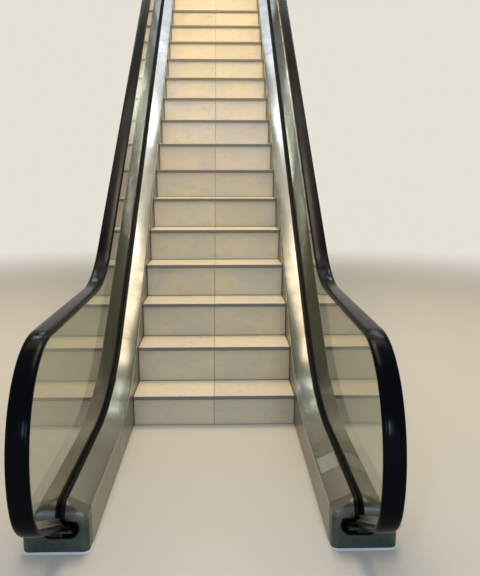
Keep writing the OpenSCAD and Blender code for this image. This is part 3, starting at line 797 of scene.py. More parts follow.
@dataclass
class BoxField:
    """Many boxes that make one piece, such as the tiles of a stair."""

    name: str
    finish: Finish
    slot: str
    bevel: float = 0.0
    points: list[tuple[float, float, float]] = field(default_factory=list)
    faces: list[tuple[int, ...]] = field(default_factory=list)
    shades: list[float] = field(default_factory=list)

    def add(self, low: Sequence[float], high: Sequence[float], shade: float = 1.0) -> None:
        """Adds a box.

        Args:
            low: Its corner with the least x, y and z.
            high: Its corner with the greatest.
            shade: How light it is next to its neighbours.
        """
        start = len(self.points)
        for x in (low[0], high[0]):
            for y in (low[1], high[1]):
                for z in (low[2], high[2]):
                    self.points.append((x, y, z))
        self.faces += box_faces(start)
        self.shades += [shade] * 6

    def build(self) -> bpy.types.Object:
        """Makes the piece, with its edges eased if a bevel is set.

        Returns:
            The new object.
        """
        piece = mesh_piece(self.name, self.points, self.faces, self.finish, smooth=False,
                           shades=self.shades)
        if self.bevel:
            ease = piece.modifiers.new("eased_edges", "BEVEL")
            ease.width = self.bevel
            ease.segments = 2
        return piece


@dataclass
class Sweep:
    """A closed profile laid along a path of stations, with u along it and v round it."""

    name: str
    section: Sequence[Point]
    finish: Finish
    slot: str
    side: Side = Side.RIGHT
    points: list[tuple[float, float, float]] = field(default_factory=list)
    faces: list[tuple[int, ...]] = field(default_factory=list)
    uv: list[list[Point]] = field(default_factory=list)

    def add(self, path: Sequence[Station], begins: float = 0.0, looped: bool = False) -> None:
        """Adds one length of the profile.

        Args:
            path: Its stations.
            begins: Distance along the flight at the first station.
            looped: Whether the last station joins the first.
        """
        start, count, n = len(self.points), len(path), len(self.section)
        girth = [0.0]
        for a, b in zip(self.section, [*self.section[1:], self.section[0]]):
            girth.append(girth[-1] + math.dist(a, b))
        run = [0.0]
        for a, b in zip(path, [*path[1:], path[0]]):
            run.append(run[-1] + math.dist(a[:2], b[:2]))
        for y, z, a in path:
            for x, e in self.section:
                self.points.append((self.side * x, y - e * math.sin(a), z + e * math.cos(a)))
        for k in range(count if looped else count - 1):
            for i in range(n):
                j, a, b = (i + 1) % n, start + k * n, start + (k + 1) % count * n
                self.faces.append((a + i, a + j, b + j, b + i))
                u0, u1, v0, v1 = begins + run[k], begins + run[k + 1], girth[i], girth[i + 1]
                self.uv.append([(u0, v0), (u0, v1), (u1, v1), (u1, v0)])
        if not looped:
            for ring in (start, start + (count - 1) * n):
                self.faces.append(tuple(range(ring, ring + n)))
                self.uv.append([(begins + x, e) for x, e in self.section])

    def build(self) -> bpy.types.Object:
        """Makes the piece."""
        return mesh_piece(self.name, self.points, self.faces, self.finish, uv=self.uv)


def strip(line: Sequence[Point], thickness: float) -> list[Point]:
    """Thickens an open line of profile points to one side.

    Args:
        line: Points of the outer face.
        thickness: How far the inner face lies to the right of the way the line runs.

    Returns:
        A closed profile.
    """
    inner = []
    for i, point in enumerate(line):
        before, after = line[max(i - 1, 0)], line[min(i + 1, len(line) - 1)]
        dx, de = after[0] - before[0], after[1] - before[1]
        size = math.hypot(dx, de)
        inner.append((point[0] + de / size * thickness, point[1] - dx / size * thickness))
    return [*line, *reversed(inner)]


def eased(line: Sequence[Point], radius: float, steps: int = 5) -> list[Point]:
    """Rounds the inner corners of an open line of profile points.

    Args:
        line: Corner points.
        radius: How far from a corner its rounding starts.
        steps: Number of stretches in each rounding.

    Returns:
        The line with each inner corner replaced by a curve.
    """
    out = [line[0]]
    for before, corner, after in zip(line, line[1:], line[2:]):
        a = Vector(corner) + (Vector(before) - Vector(corner)).normalized() * radius
        b = Vector(corner) + (Vector(after) - Vector(corner)).normalized() * radius
        for i in range(steps + 1):
            t = i / steps
            p = a * (1 - t) ** 2 + Vector(corner) * 2 * t * (1 - t) + b * t ** 2
            out.append((p.x, p.y))
    out.append(line[-1])
    return out


@dataclass
class TiledStair:
    """Ceramic tiles on a mortar bed, laid on each step and on the upper landing."""

    line: GuideLine
    rng: random.Random
    tile_t: float = 9 * MM
    slab_t: float = 24 * MM
    riser_t: float = 16 * MM
    nosing: float = 12 * MM
    joint: float = 2.5 * MM
    side_gap: float = 3 * MM
    bed_proud: float = 0.3 * MM
    # How much of the tile's own edge shows over the bed's
    bed_below: float = 3 * MM
    ease: float = 1.2 * MM
    floor_tile: float = 500 * MM
    # The narrowest cut tile that is laid, and the length of the newel caps that the landing runs past
    least_cut: float = 20 * MM
    cap_len: float = 80 * MM

    def shade(self) -> float:
        """Gives one tile's lightness next to its neighbours."""
        return self.rng.uniform(0.93, 1.03)

    def build(self) -> None:
        """Lays the treads, risers and landing, and the mortar that shows round them."""
        treads = BoxField("tread_tiles", TREAD_TILE, "tread_tile", self.ease)
        risers = BoxField("riser_tile_faces", SHADED_RISER_TILE, "riser_tile", self.ease)
        bed = BoxField("mortar_bed", BED_MORTAR, "riser_tile")
        half = self.line.skirt_x - self.side_gap
        spans = ((-half, -self.joint / 2), (self.joint / 2, half))
        for k in range(self.line.risers):
            y = self.line.riser_y + k * self.line.going
            last = k == self.line.risers - 1
            top = self.line.total_rise if last else self.line.end_rise + k * self.line.rise
            foot = 0.0 if k == 0 else self.line.end_rise + (k - 1) * self.line.rise
            for low, high in spans:
                risers.add((low, y, foot + self.joint / 2), (high, y + self.tile_t, top - self.slab_t),
                           self.shade())
            bed.add((-half, y + self.tile_t / 2, foot), (half, y + self.riser_t, top - self.slab_t))
            if last:
                break
            back = y + self.line.going
            for low, high in spans:
                treads.add((low, y - self.nosing, top - self.tile_t), (high, back - self.joint, top),
                           self.shade())
            bed.add((-half, y - self.nosing + self.tile_t, top - self.slab_t),
                    (half, back + self.riser_t, top - self.tile_t / 2))
            bed.add((-half, y - self.nosing - self.bed_proud, top - self.slab_t),
                    (half, y - self.nosing + self.tile_t, top - self.bed_below))
        self.lay_landing(treads, bed)
        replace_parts(treads.build(), "tread_slabs", "landing_tiles")
        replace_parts(risers.build(), "riser_tiles")
        bed.build()

    def lay_landing(self, tiles: BoxField, bed: BoxField) -> None:
        """Lays the landing's square tiles between the balustrades and beyond them.

        Args:
            tiles: The piece that takes the tiles.
            bed: The piece that takes their mortar.
        """
        z, front = self.line.total_rise, self.line.landing_y - self.nosing
        low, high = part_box("landing_tiles")
        wide_from = self.line.head_y - self.cap_len
        inner = self.line.skirt_x - self.side_gap
        zones = ((front, wide_from, inner), (wide_from, high.y, high.x))
        for y0, y1, half in zones:
            bed.add((-half, y0 + self.tile_t, z - self.slab_t), (half, y1, z - self.tile_t / 2))
        bed.add((-inner, front - self.bed_proud, z - self.slab_t),
                (inner, front + self.tile_t, z - self.bed_below))
        y = front
        while y < high.y - self.joint:
            end = min(y + self.floor_tile, high.y)
            for start, stop, half in ((y, min(end, wide_from), inner), (max(y, wide_from), end, high.x)):
                if stop - start < self.joint:
                    continue
                edges = [-half, -self.floor_tile, 0.0, self.floor_tile, half]
                for a, b in zip(edges, edges[1:]):
                    if b - a > self.least_cut:
                        tiles.add((a + self.joint / 2, start, z - self.tile_t),
                                  (b - self.joint / 2, stop - self.joint, z), self.shade())
            y = end


@dataclass
class Balustrade:
    """One side of the flight: glass, handrail, decking and skirt."""

    line: GuideLine
    side: Side
    glass_out: float = 116 * MM
    glass_t: float = 10 * MM
    gasket_w: float = 20 * MM
    gasket_proud: float = 8 * MM
    gasket_lift: float = 4 * MM
    gasket_fall: float = 2 * MM
    gasket_ease: float = 5 * MM
    deck_h: float = 172 * MM
    deck_rise: float = 46 * MM
    outer_rise: float = 10 * MM
    steel_t: float = 2 * MM
    skirt_foot: float = 110 * MM
    skirt_gap: float = 5 * MM
    deck_ease: float = 7 * MM
    deck_lip: float = 14 * MM
    handrail_h: float = 960 * MM
    handrail_w: float = 80 * MM
    handrail_t: float = 30 * MM
    belt_wall: float = 9 * MM
    inlet_h: float = 118 * MM
    newel_out: float = 100 * MM
    # The handrail's round end, and where on it the tighter heel starts
    newel_r: float = 417 * MM
    newel_turn: float = math.radians(105)
    heel_r: float = 200 * MM
    dip_r: float = 400 * MM
    arc_step: float = math.radians(2.5)
    return_e: float = 46 * MM
    glass_edge: float = 34 * MM
    pane_gap: float = 4 * MM
    pane_joint: float = 430 * MM
    incline_panes: int = 4
    cap_len: float = 80 * MM
    corner_r: float = 30 * MM
    hood_z: float = 150 * MM
    glass_low: float = 160 * MM
    nose_start: float = 56 * MM
    nose_stop: float = math.radians(8)
    joint: float = 1.5 * MM
    climbing_lengths: int = 3
    # Where the belt's lips end, and how square its sides and its top are: 1 is round, 0 is square
    belt_lip: float = math.radians(235)
    belt_squareness: Point = (0.55, 0.75)
    # Sheet is drawn this much off the solids it stands for, and rubber this much inside them
    sheet_off: float = 0.6 * MM
    rubber_in: float = 0.3 * MM
    rng: random.Random = field(default_factory=lambda: random.Random(3))

    @property
    def glass_x(self) -> float:
        """Middle of the glass on the right-hand side."""
        return self.line.skirt_x + self.glass_out

    @property
    def deck_top(self) -> float:
        """Height of the decking beside the gaskets."""
        return self.deck_h + self.deck_rise

    @property
    def inner_deck(self) -> tuple[Point, Point]:
        """Low and high edge of the inner decking, on the right-hand side."""
        return ((self.line.skirt_x - self.sheet_off, self.deck_h),
                (self.glass_x - self.glass_t / 2 - self.gasket_w, self.deck_top))

    @property
    def heel_mid(self) -> Point:
        """Middle of the heel, from the floor under the front of a foot."""
        gap = self.newel_r - self.heel_r
        return (-self.newel_out - gap * math.sin(self.newel_turn),
                self.handrail_h - self.newel_r + gap * math.cos(self.newel_turn))

    @property
    def run_angle(self) -> float:
        """Slope at which the handrail runs down from the heel into the foot."""
        out, up = -self.heel_mid[0], self.heel_mid[1] - self.inlet_h
        return math.acos(self.heel_r / math.hypot(out, up)) - math.atan2(out, up)

    @property
    def dip_y(self) -> float:
        """How far inside the foot the handrail runs level."""
        drop = self.inlet_h - self.return_e
        return drop / math.tan(self.run_angle) + self.dip_r * math.tan(self.run_angle / 2)

    def build(self) -> None:
        """Builds the side's pieces and dresses the nodes that stay."""
        self.build_handrail()
        self.build_decking()
        self.build_skirt()
        self.build_gaskets()
        self.build_panes()
        self.build_trim()
        side = self.side.word
        for node, finish in {
            f"glass_clamp_{side}": CLAMP_ALUMINIUM, f"handrail_guide_{side}": GUIDE_STEEL,
            f"bracket_rail_{side}": TRUSS_PRIMER, f"cladding_{side}": CLADDING_COAT,
            f"truss_{side}": TRUSS_PRIMER, f"lower_newel_cap_{side}": LOWER_PLATE,
            f"upper_newel_cap_{side}": UPPER_PLATE, f"lower_inlet_{side}": GASKET_RUBBER,
            f"upper_inlet_{side}": GASKET_RUBBER,
        }.items():
            dress_node(node, finish)

    def belt_skin(self, inset: float, steps: int) -> list[Point]:
        """Gives the belt's outer or inner skin from lip to lip, with squared corners.

        Args:
            inset: How far inside the outer skin it lies at the sides.
            steps: Number of stretches from lip to lip.

        Returns:
            Its points, across the flight and square to the handrail.
        """
        lip, top_share = self.belt_lip, 0.9
        half_w, half_t = self.handrail_w / 2 - inset, self.handrail_t / 2 - inset * top_share
        across, up = self.belt_squareness
        out = []
        for i in range(steps + 1):
            a = lip - (2 * lip - math.pi) * i / steps
            c, s = math.cos(a), math.sin(a)
            out.append((self.glass_x + half_w * math.copysign(abs(c) ** across, c),
                        half_t * math.copysign(abs(s) ** up, s)))
        return out

    def build_handrail(self) -> None:
        """Sweeps the belt along the top, round both newels and back inside the base."""
        outer, inner = self.belt_skin(0, 28), self.belt_skin(self.belt_wall, 20)
        belt = Sweep(f"handrail_belt_{self.side.word}", [*outer, *reversed(inner)], HANDRAIL_RUBBER,
                     "handrail_rubber", self.side)
        low, high = self.line.foot_at - self.newel_out, self.line.head_at + self.newel_out
        path = [self.line.lifted(s, self.handrail_h) for s in self.line.rings(low, high)]
        path += self.way_in(End.UPPER)
        level = self.line.rings(self.line.foot_at + self.dip_y + self.joint,
                                self.line.head_at - self.dip_y - self.joint)
        back = [self.line.lifted(s, self.return_e) for s in reversed(level)]
        path += [(y, z, a - math.pi) for y, z, a in back]
        path += reversed(self.way_in(End.LOWER))
        belt.add(path, low, looped=True)
        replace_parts(belt.build(), f"handrail_{self.side.word}")

    def way_in(self, end: End) -> list[Station]:
        """Gives the handrail's way round one end and down into the foot.

        Args:
            end: The end of the flight.

        Returns:
            Its stations, from the top inward.
        """
        heel_turn = math.pi - self.run_angle
        dip = (self.dip_y, self.return_e + self.dip_r)
        return self.placed(end, [*self.round_end(0), (0.0, self.inlet_h, heel_turn),
                                 *self.arc(dip, self.dip_r, heel_turn, math.pi)])

    def round_end(self, inset: float) -> list[Station]:
        """Gives a way round a newel and its heel, in the frame of a lower foot.

        Args:
            inset: How far it lies inside the handrail's middle.

        Returns:
            Its stations, from the top down.
        """
        newel = (-self.newel_out, self.handrail_h - self.newel_r)
        return [*self.arc(newel, self.newel_r - inset, 0.0, self.newel_turn),
                *self.arc(self.heel_mid, self.heel_r - inset, self.newel_turn, math.pi - self.run_angle)]

    def arc(self, mid: Point, r: float, start: float, stop: float) -> list[Station]:
        """Gives an arc in the frame of a lower foot.

        Args:
            mid: Its middle.
            r: Its radius.
            start: Its first turn from level.
            stop: Its last turn.

        Returns:
            Its stations after the first.
        """
        steps = math.ceil((stop - start) / self.arc_step)
        turns = [start + (stop - start) * i / steps for i in range(1, steps + 1)]
        return [(mid[0] - r * math.sin(a), mid[1] + r * math.cos(a), a) for a in turns]

    def placed(self, end: End, path: Sequence[Station]) -> list[Station]:
        """Sets stations at one end of the flight.

        Args:
            end: The end of the flight.
            path: Stations in the frame of a lower foot: from its front inward, and up from its floor.

        Returns:
            The stations in the part's frame.
        """
        if end is End.UPPER:
            return [(self.line.head_y - y, self.line.total_rise + z, -a) for y, z, a in path]
        return [(self.line.foot_y + y, z, a) for y, z, a in path]

    def build_decking(self) -> None:
        """Sweeps both deckings, with their edges rolled down over the skirt and the cladding."""
        low, high = self.inner_deck
        lip = self.deck_lip
        self.sweep_deck("inner", [(low[0], low[1] - lip), low, high])
        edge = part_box("outer_deck_right")[1].x + self.sheet_off, self.deck_h + self.outer_rise
        start = self.glass_x + self.glass_t / 2 + self.gasket_w, self.deck_top
        self.sweep_deck("outer", [start, edge, (edge[0], edge[1] - lip)])

    def sweep_deck(self, which: str, corners: Sequence[Point]) -> None:
        """Sweeps one decking.

        Args:
            which: The word that starts the node's name.
            corners: Corner points of its outer face.
        """
        deck = Sweep(f"{which}_decking_{self.side.word}", strip(eased(corners, self.deck_ease), self.steel_t),
                     DECK_STEEL, "deck_stainless", self.side)
        self.roll(deck)
        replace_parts(deck.build(), f"{which}_deck_{self.side.word}")

    def build_skirt(self) -> None:
        """Sweeps the skirt panels, cut off at the floor."""
        x = self.line.skirt_x
        top = self.deck_h - self.steel_t
        far = x + self.steel_t
        skirt = Sweep(f"skirt_panels_{self.side.word}",
                      [(x, -self.skirt_foot), (x, top), (far, top), (far, -self.skirt_foot)],
                      SKIRT_STEEL, "skirt_stainless", self.side)
        self.roll(skirt)
        skirt.points = [(x, y, max(z, self.skirt_gap)) for x, y, z in skirt.points]
        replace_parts(skirt.build(), f"skirt_{self.side.word}")

    def roll(self, sheet: Sweep) -> None:
        """Runs a sheet's profile from cap to cap, jointed at the bends and twice on the climb.

        Args:
            sheet: The piece that takes the lengths.
        """
        edge = self.cap_len + self.joint
        low, high = self.line.foot_at + edge, self.line.head_at - edge
        for a, b in self.line.lengths(low, high, self.climbing_lengths, self.joint):
            sheet.add([self.line.at(s) for s in self.line.rings(a, b)], a)

    def build_gaskets(self) -> None:
        """Sweeps the two rubber strips beside the glass and over both noses."""
        low = self.glass_low + self.gasket_lift
        top = self.deck_top + self.gasket_proud
        gasket = Sweep(f"gasket_strips_{self.side.word}", [], GASKET_RUBBER, "black_rubber", self.side)
        first, last = self.line.foot_at + self.nose_start, self.line.head_at - self.nose_start
        for way in (-1, 1):
            face = self.glass_x + way * (self.glass_t / 2 + self.rubber_in)
            far = self.glass_x + way * (self.glass_t / 2 + self.gasket_w - self.rubber_in)
            corners = [(face, low), (face, top), (far, top - self.gasket_fall), (far, low)]
            gasket.section = eased(corners, self.gasket_ease)
            for a, b in self.line.lengths(first, last, self.climbing_lengths, self.joint):
                path = [self.line.at(s) for s in self.line.rings(a, b)]
                if a == first:
                    path = [*self.nose_path(End.LOWER), *path]
                if b == last:
                    path += self.nose_path(End.UPPER)
                gasket.add(path, a)
        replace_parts(gasket.build(), f"gasket_{self.side.word}")

    def nose_path(self, end: End, steps: int = 14) -> list[Station]:
        """Gives the gaskets' way over the nose at one end.

        Args:
            end: The end of the flight.
            steps: Number of stretches over the nose.

        Returns:
            Its stations, in the order of the flight.
        """
        way = 1 if end is End.UPPER else -1
        y = self.line.head_y - self.nose_start if end is End.UPPER else self.line.foot_y + self.nose_start
        floor = self.line.total_rise if end is End.UPPER else 0.0
        turns = [(math.pi / 2 - self.nose_stop) * i / steps for i in range(1, steps + 1)]
        stations = [(y - way * self.hood_z * math.sin(a), floor + self.hood_z * (1 - math.cos(a)), -way * a)
                    for a in turns]
        return stations if end is End.UPPER else stations[::-1]

    def build_trim(self) -> None:
        """Adds the brushes, the mastic and, on the right, the wear."""
        for end in End:
            InletBrush(self, end).build()
        MasticBead(self).build()
        if self.side is Side.RIGHT:
            DeckPatch(self, "deck_tape", FOIL_TAPE, (-0.505, -0.34), (0.08, 0.95), 0.5 * MM, 1.1 * MM).build()
            DeckPatch(self, "deck_cover_strip", COVER_STRIP, (-0.292, -0.262), (0.03, 0.97), 1.6 * MM).build()
            TornLip(self).build()

    def build_panes(self) -> None:
        """Cuts the panes: one bent pane at each end and straight ones between."""
        first = self.line.climb_at + self.pane_joint
        last = self.line.crest_at - self.pane_joint
        low, high = self.line.foot_at - self.newel_out, self.line.head_at + self.newel_out
        side, gap = self.side.word, self.pane_gap / 2
        self.pane(f"lower_glass_{side}", [(low, first - gap, End.LOWER)], f"lower_pane_{side}")
        self.pane(f"upper_glass_{side}", [(last + gap, high, End.UPPER)], f"upper_pane_{side}")
        pitch = (last - first) / self.incline_panes
        spans = [(first + i * pitch + gap, first + (i + 1) * pitch - gap, None)
                 for i in range(self.incline_panes)]
        self.pane(f"incline_glass_{side}", spans, f"incline_panes_{side}")

    def pane(self, name: str, spans: Sequence[tuple[float, float, End | None]], node: str) -> None:
        """Makes panes from their outlines.

        Args:
            name: The piece's name.
            spans: Start, end and round end of each pane.
            node: The frame's node that they stand for.
        """
        points, faces = [], []
        for start, stop, end in spans:
            outline = self.pane_outline(start, stop, end)
            n, at = len(outline), len(points)
            for x in (-self.glass_t / 2, self.glass_t / 2):
                points += [(self.side * (self.glass_x + x), y, z) for y, z in outline]
            faces += [(at + i, at + (i + 1) % n, at + n + (i + 1) % n, at + n + i) for i in range(n)]
            faces += [tuple(range(at, at + n)), tuple(range(at + n, at + 2 * n))]
        piece = mesh_piece(name, points, faces, PANE_GLASS, smooth=False)
        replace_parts(piece, node)

    def pane_outline(self, start: float, stop: float, end: End | None) -> list[Point]:
        """Gives one pane's outline.

        Args:
            start: Distance along the flight at which its top edge starts.
            stop: Distance at which its top edge ends.
            end: The end of the flight that it bends round, if any.

        Returns:
            Its y and z points.
        """
        edge = self.handrail_h - self.glass_edge
        top = [self.line.lifted(s, edge)[:2] for s in self.line.rings(start, stop)]
        bent = [(y, z) for y, z, _ in self.placed(end, self.round_end(self.glass_edge))] if end else []
        slope = self.run_angle
        inside = (self.inlet_h + self.glass_edge / math.cos(slope) - self.glass_low) / math.tan(slope)
        if end is End.LOWER:
            start = self.line.foot_at + inside
        if end is End.UPPER:
            stop = self.line.head_at - inside
        foot = [self.line.lifted(s, self.glass_low)[:2] for s in self.line.rings(start, stop)]
        if end is End.LOWER:
            return [*top, *reversed(foot), *reversed(bent)]
        return [*top, *bent, *reversed(foot)]


@dataclass
class InletBrush:
    """Brush round one handrail inlet: whole at the head, torn off inward at the foot."""

    rail: Balustrade
    end: End
    half_w: float = 35 * MM
    r: float = 37 * MM
    # The inlet's middle under the handrail's way in, its wall, and how far it stands before the plate
    drop: float = 6 * MM
    wall: float = 8 * MM
    proud: float = 1 * MM
    count: int = 300
    # Bristles are 0.2 mm thick. They are drawn 1.6 mm thick, to show in a render.
    thick: float = 1.6 * MM
    reach: float = 30 * MM
    shortest: float = 0.7
    lean: float = 0.5
    # How far the tips stand before the inlet's face, in millimetres
    forward: Point = (2, 9)
    greys: Point = (0.5, 1.1)
    torn_from: float = -8 * MM

    def build(self) -> None:
        """Sets each bristle on the inlet's oval, with its own lean, length and grey."""
        rail, rng, upper = self.rail, self.rail.rng, self.end is End.UPPER
        way = 1 if upper else -1
        face = (rail.line.head_y if upper else rail.line.foot_y) + way * self.proud
        mid_z = (rail.line.total_rise if upper else 0.0) + (rail.inlet_h - self.drop)
        girth = 4 * self.half_w + 2 * math.pi * self.r
        points, faces, shades = [], [], []
        for i in range(self.count):
            across, up, inward = self.oval_point(girth * i / self.count)
            if not upper and across < self.torn_from:
                continue
            lean = rng.uniform(-self.lean, self.lean)
            length = self.reach * rng.uniform(self.shortest, 1.0)
            tip = (across + (inward[0] - lean * inward[1]) * length,
                   up + (inward[1] + lean * inward[0]) * length)
            depth = way * rng.uniform(*self.forward) * MM
            at = len(points)
            for corner in range(3):
                turn = corner * 2 * math.pi / 3
                points.append((rail.side * (rail.glass_x + across + self.thick / 2 * math.cos(turn)),
                               face - way * self.wall / 2 + self.thick / 2 * math.sin(turn), mid_z + up))
            points.append((rail.side * (rail.glass_x + tip[0]), face + depth, mid_z + tip[1]))
            corners = ((0, 1, 3), (1, 2, 3), (2, 0, 3), (0, 2, 1))
            faces += [tuple(at + c for c in face_corners) for face_corners in corners]
            shades += [rng.uniform(*self.greys)] * len(corners)
        mesh_piece(f"{self.end.value}_brush_{rail.side.word}", points, faces, INLET_BRUSH,
                   shades=shades)

    def oval_point(self, run: float) -> tuple[float, float, Point]:
        """Gives a place on the inlet's oval.

        Args:
            run: Distance round it from the start of its lower side.

        Returns:
            The place across the inlet, its height from the middle, and the way inward.
        """
        half_w, r = self.half_w, self.r
        arc = math.pi * r
        if run < 2 * half_w:
            return run - half_w, -r, (0.0, 1.0)
        run -= 2 * half_w
        if run < arc:
            a = run / r - math.pi / 2
            return half_w + r * math.cos(a), r * math.sin(a), (-math.cos(a), -math.sin(a))
        run -= arc
        if run < 2 * half_w:
            return half_w - run, r, (0.0, -1.0)
        a = (run - 2 * half_w) / r + math.pi / 2
        return -half_w + r * math.cos(a), r * math.sin(a), (-math.cos(a), -math.sin(a))


@dataclass
class MasticBead:
    """Bead of mastic round the foot of one lower plate."""

    rail: Balustrade
    w: float = 7 * MM
    back: float = 70 * MM
    corner_steps: int = 8
    # Corners of its section, as shares of its width outward and upward
    section: tuple[Point, ...] = ((0.0, 0.0), (1.0, 0.0), (0.75, 0.5), (0.3, 0.85), (0.0, 1.0))

    def build(self) -> None:
        """Lays the bead on the floor round the plate's front."""
        x0, x1 = self.rail.line.skirt_x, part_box("lower_newel_cap_right")[1].x
        y0, r = self.rail.line.foot_y, self.rail.corner_r
        way = [(x0, y0 + self.back, -1.0, 0.0)]
        for cx, start in ((x0 + r, math.pi), (x1 - r, 1.5 * math.pi)):
            for i in range(self.corner_steps + 1):
                a = start + math.pi / 2 * i / self.corner_steps
                way.append((cx + r * math.cos(a), y0 + r + r * math.sin(a), math.cos(a), math.sin(a)))
        way.append((x1, y0 + self.back, 1.0, 0.0))
        profile = [(out * self.w, up * self.w) for out, up in self.section]
        points = [(self.rail.side * (x + dx * out), y + dy * out, z)
                  for x, y, dx, dy in way for out, z in profile]
        n = len(profile)
        faces = [(k * n + i, k * n + (i + 1) % n, (k + 1) * n + (i + 1) % n, (k + 1) * n + i)
                 for k in range(len(way) - 1) for i in range(n)]
        faces += [tuple(range(n)), tuple(range((len(way) - 1) * n, len(way) * n))]
        mesh_piece(f"mastic_bead_{self.rail.side.word}", points, faces, MASTIC)


@dataclass
class DeckPatch:
    """Thin patch on the inner decking.

    Its place is its first and last distance along the flight, and its first and
    last share of the decking's width.
    """

    rail: Balustrade
    name: str
    finish: Finish
    along: Point
    across: Point
    thickness: float
    crease_h: float = 0.0
    rows: int = 22
    columns: int = 16
    clear: float = 0.2 * MM

    def build(self) -> None:
        """Lays the patch, creased if it has creases."""
        low, high = self.rail.inner_deck
        points = []
        for level in (0.0, 1.0):
            for i in range(self.rows + 1):
                s = self.along[0] + (self.along[1] - self.along[0]) * i / self.rows
                for j in range(self.columns + 1):
                    t = self.across[0] + (self.across[1] - self.across[0]) * j / self.columns
                    x, e = low[0] + t * (high[0] - low[0]), low[1] + t * (high[1] - low[1])
                    lift = level * (self.thickness + self.crease(s, t))
                    y, z, _ = self.rail.line.lifted(s, e + lift + self.clear)
                    points.append((self.rail.side * x, y, z))
        rows, columns = self.rows, self.columns
        n, sheet = columns + 1, (rows + 1) * (columns + 1)
        grid = [(i * n + j, i * n + j + 1, (i + 1) * n + j + 1, (i + 1) * n + j)
                for i in range(rows) for j in range(columns)]
        rim = [*range(columns), *(i * n + columns for i in range(rows))]
        rim += [rows * n + j for j in range(columns, 0, -1)] + [i * n for i in range(rows, 0, -1)]
        faces = grid + [tuple(sheet + c for c in quad) for quad in grid]
        faces += [(a, b, sheet + b, sheet + a) for a, b in zip(rim, [*rim[1:], rim[0]])]
        mesh_piece(self.name, points, faces, self.finish)

    def crease(self, s: float, t: float) -> float:
        """Gives the creases' height, in sharp waves that run askew and bend."""
        return abs(math.sin(9 * t + 37 * s + 2 * math.sin(21 * s))) ** 3 * self.crease_h


@dataclass
class TornLip:
    """Lining that stands out where the handrail's lip is torn, at its heel."""

    rail: Balustrade
    turns: Point = (math.radians(127), math.radians(149))
    steps: int = 8
    flare: float = 11 * MM
    # Where it leaves the belt's side: its outer and inner edge by the heel's line, and how far in
    outer_edge: float = 4 * MM
    inner_edge: float = 3 * MM
    inner_shift: float = 9 * MM
    sunk: float = 0.4 * MM
    thickness: float = 1.2 * MM

    def build(self) -> None:
        """Flares the lining out from the belt's side, most near its middle."""
        rail = self.rail
        y, z = rail.line.foot_y + rail.heel_mid[0], rail.heel_mid[1]
        points = []
        for i in range(self.steps + 1):
            t = i / self.steps
            a = self.turns[0] + (self.turns[1] - self.turns[0]) * t
            flare = self.flare * math.sin(math.pi * t ** 0.6)
            inner_r = rail.heel_r - self.inner_edge + self.inner_shift * t
            for out, r in ((0.0, rail.heel_r + self.outer_edge), (flare, inner_r)):
                points.append((rail.side * (rail.glass_x + rail.handrail_w / 2 + out - self.sunk),
                               y - r * math.sin(a), z + r * math.cos(a)))
        faces = [(2 * i, 2 * i + 1, 2 * i + 3, 2 * i + 2) for i in range(self.steps)]
        tear = mesh_piece("torn_handrail_lip", points, faces, BELT_LINING)
        thicken = tear.modifiers.new("lining_thickness", "SOLIDIFY")
        thicken.thickness = self.thickness


@dataclass
class Structure:
    """What carries the stair: steps, stringers, bars, landing and bearing."""

    def build(self) -> None:
        """Dresses the frame's own nodes, which have their true shape."""
        for node in ("stringers", "cross_bars", "sole_plate", "landing_pan", "end_plate", "bearing_angle"):
            dress_node(node, TRUSS_PRIMER)
        dress_node("step_units", STEP_ALUMINIUM)
        dress_node("soffit_sheets", CLADDING_COAT)


@dataclass(frozen=True)
class Lamp:
    """Soft rectangular lamp: metres for its place, aim and size, and watts for its power."""

    name: str
    place: tuple[float, float, float]
    aim: tuple[float, float, float]
    size: Point
    power: float
    colour: str

    @classmethod
    def level(cls, name: str, place: tuple[float, float, float], size: Point, power: float,
              colour: str) -> "Lamp":
        """Gives a lamp that hangs level and shines straight down."""
        return cls(name, place, (place[0], place[1], -10.0), size, power, colour)

    def hang(self) -> None:
        """Puts the lamp in the scene."""
        data = bpy.data.lights.new(self.name, "AREA")
        data.shape = "RECTANGLE"
        data.size, data.size_y = self.size
        data.energy = self.power
        data.color = srgb(self.colour)[:3]
        lamp = bpy.data.objects.new(self.name, data)
        lamp.location = self.place
        lamp.rotation_euler = (Vector(self.aim) - Vector(self.place)).to_track_quat("-Z", "Y").to_euler()
        bpy.context.scene.collection.objects.link(lamp)


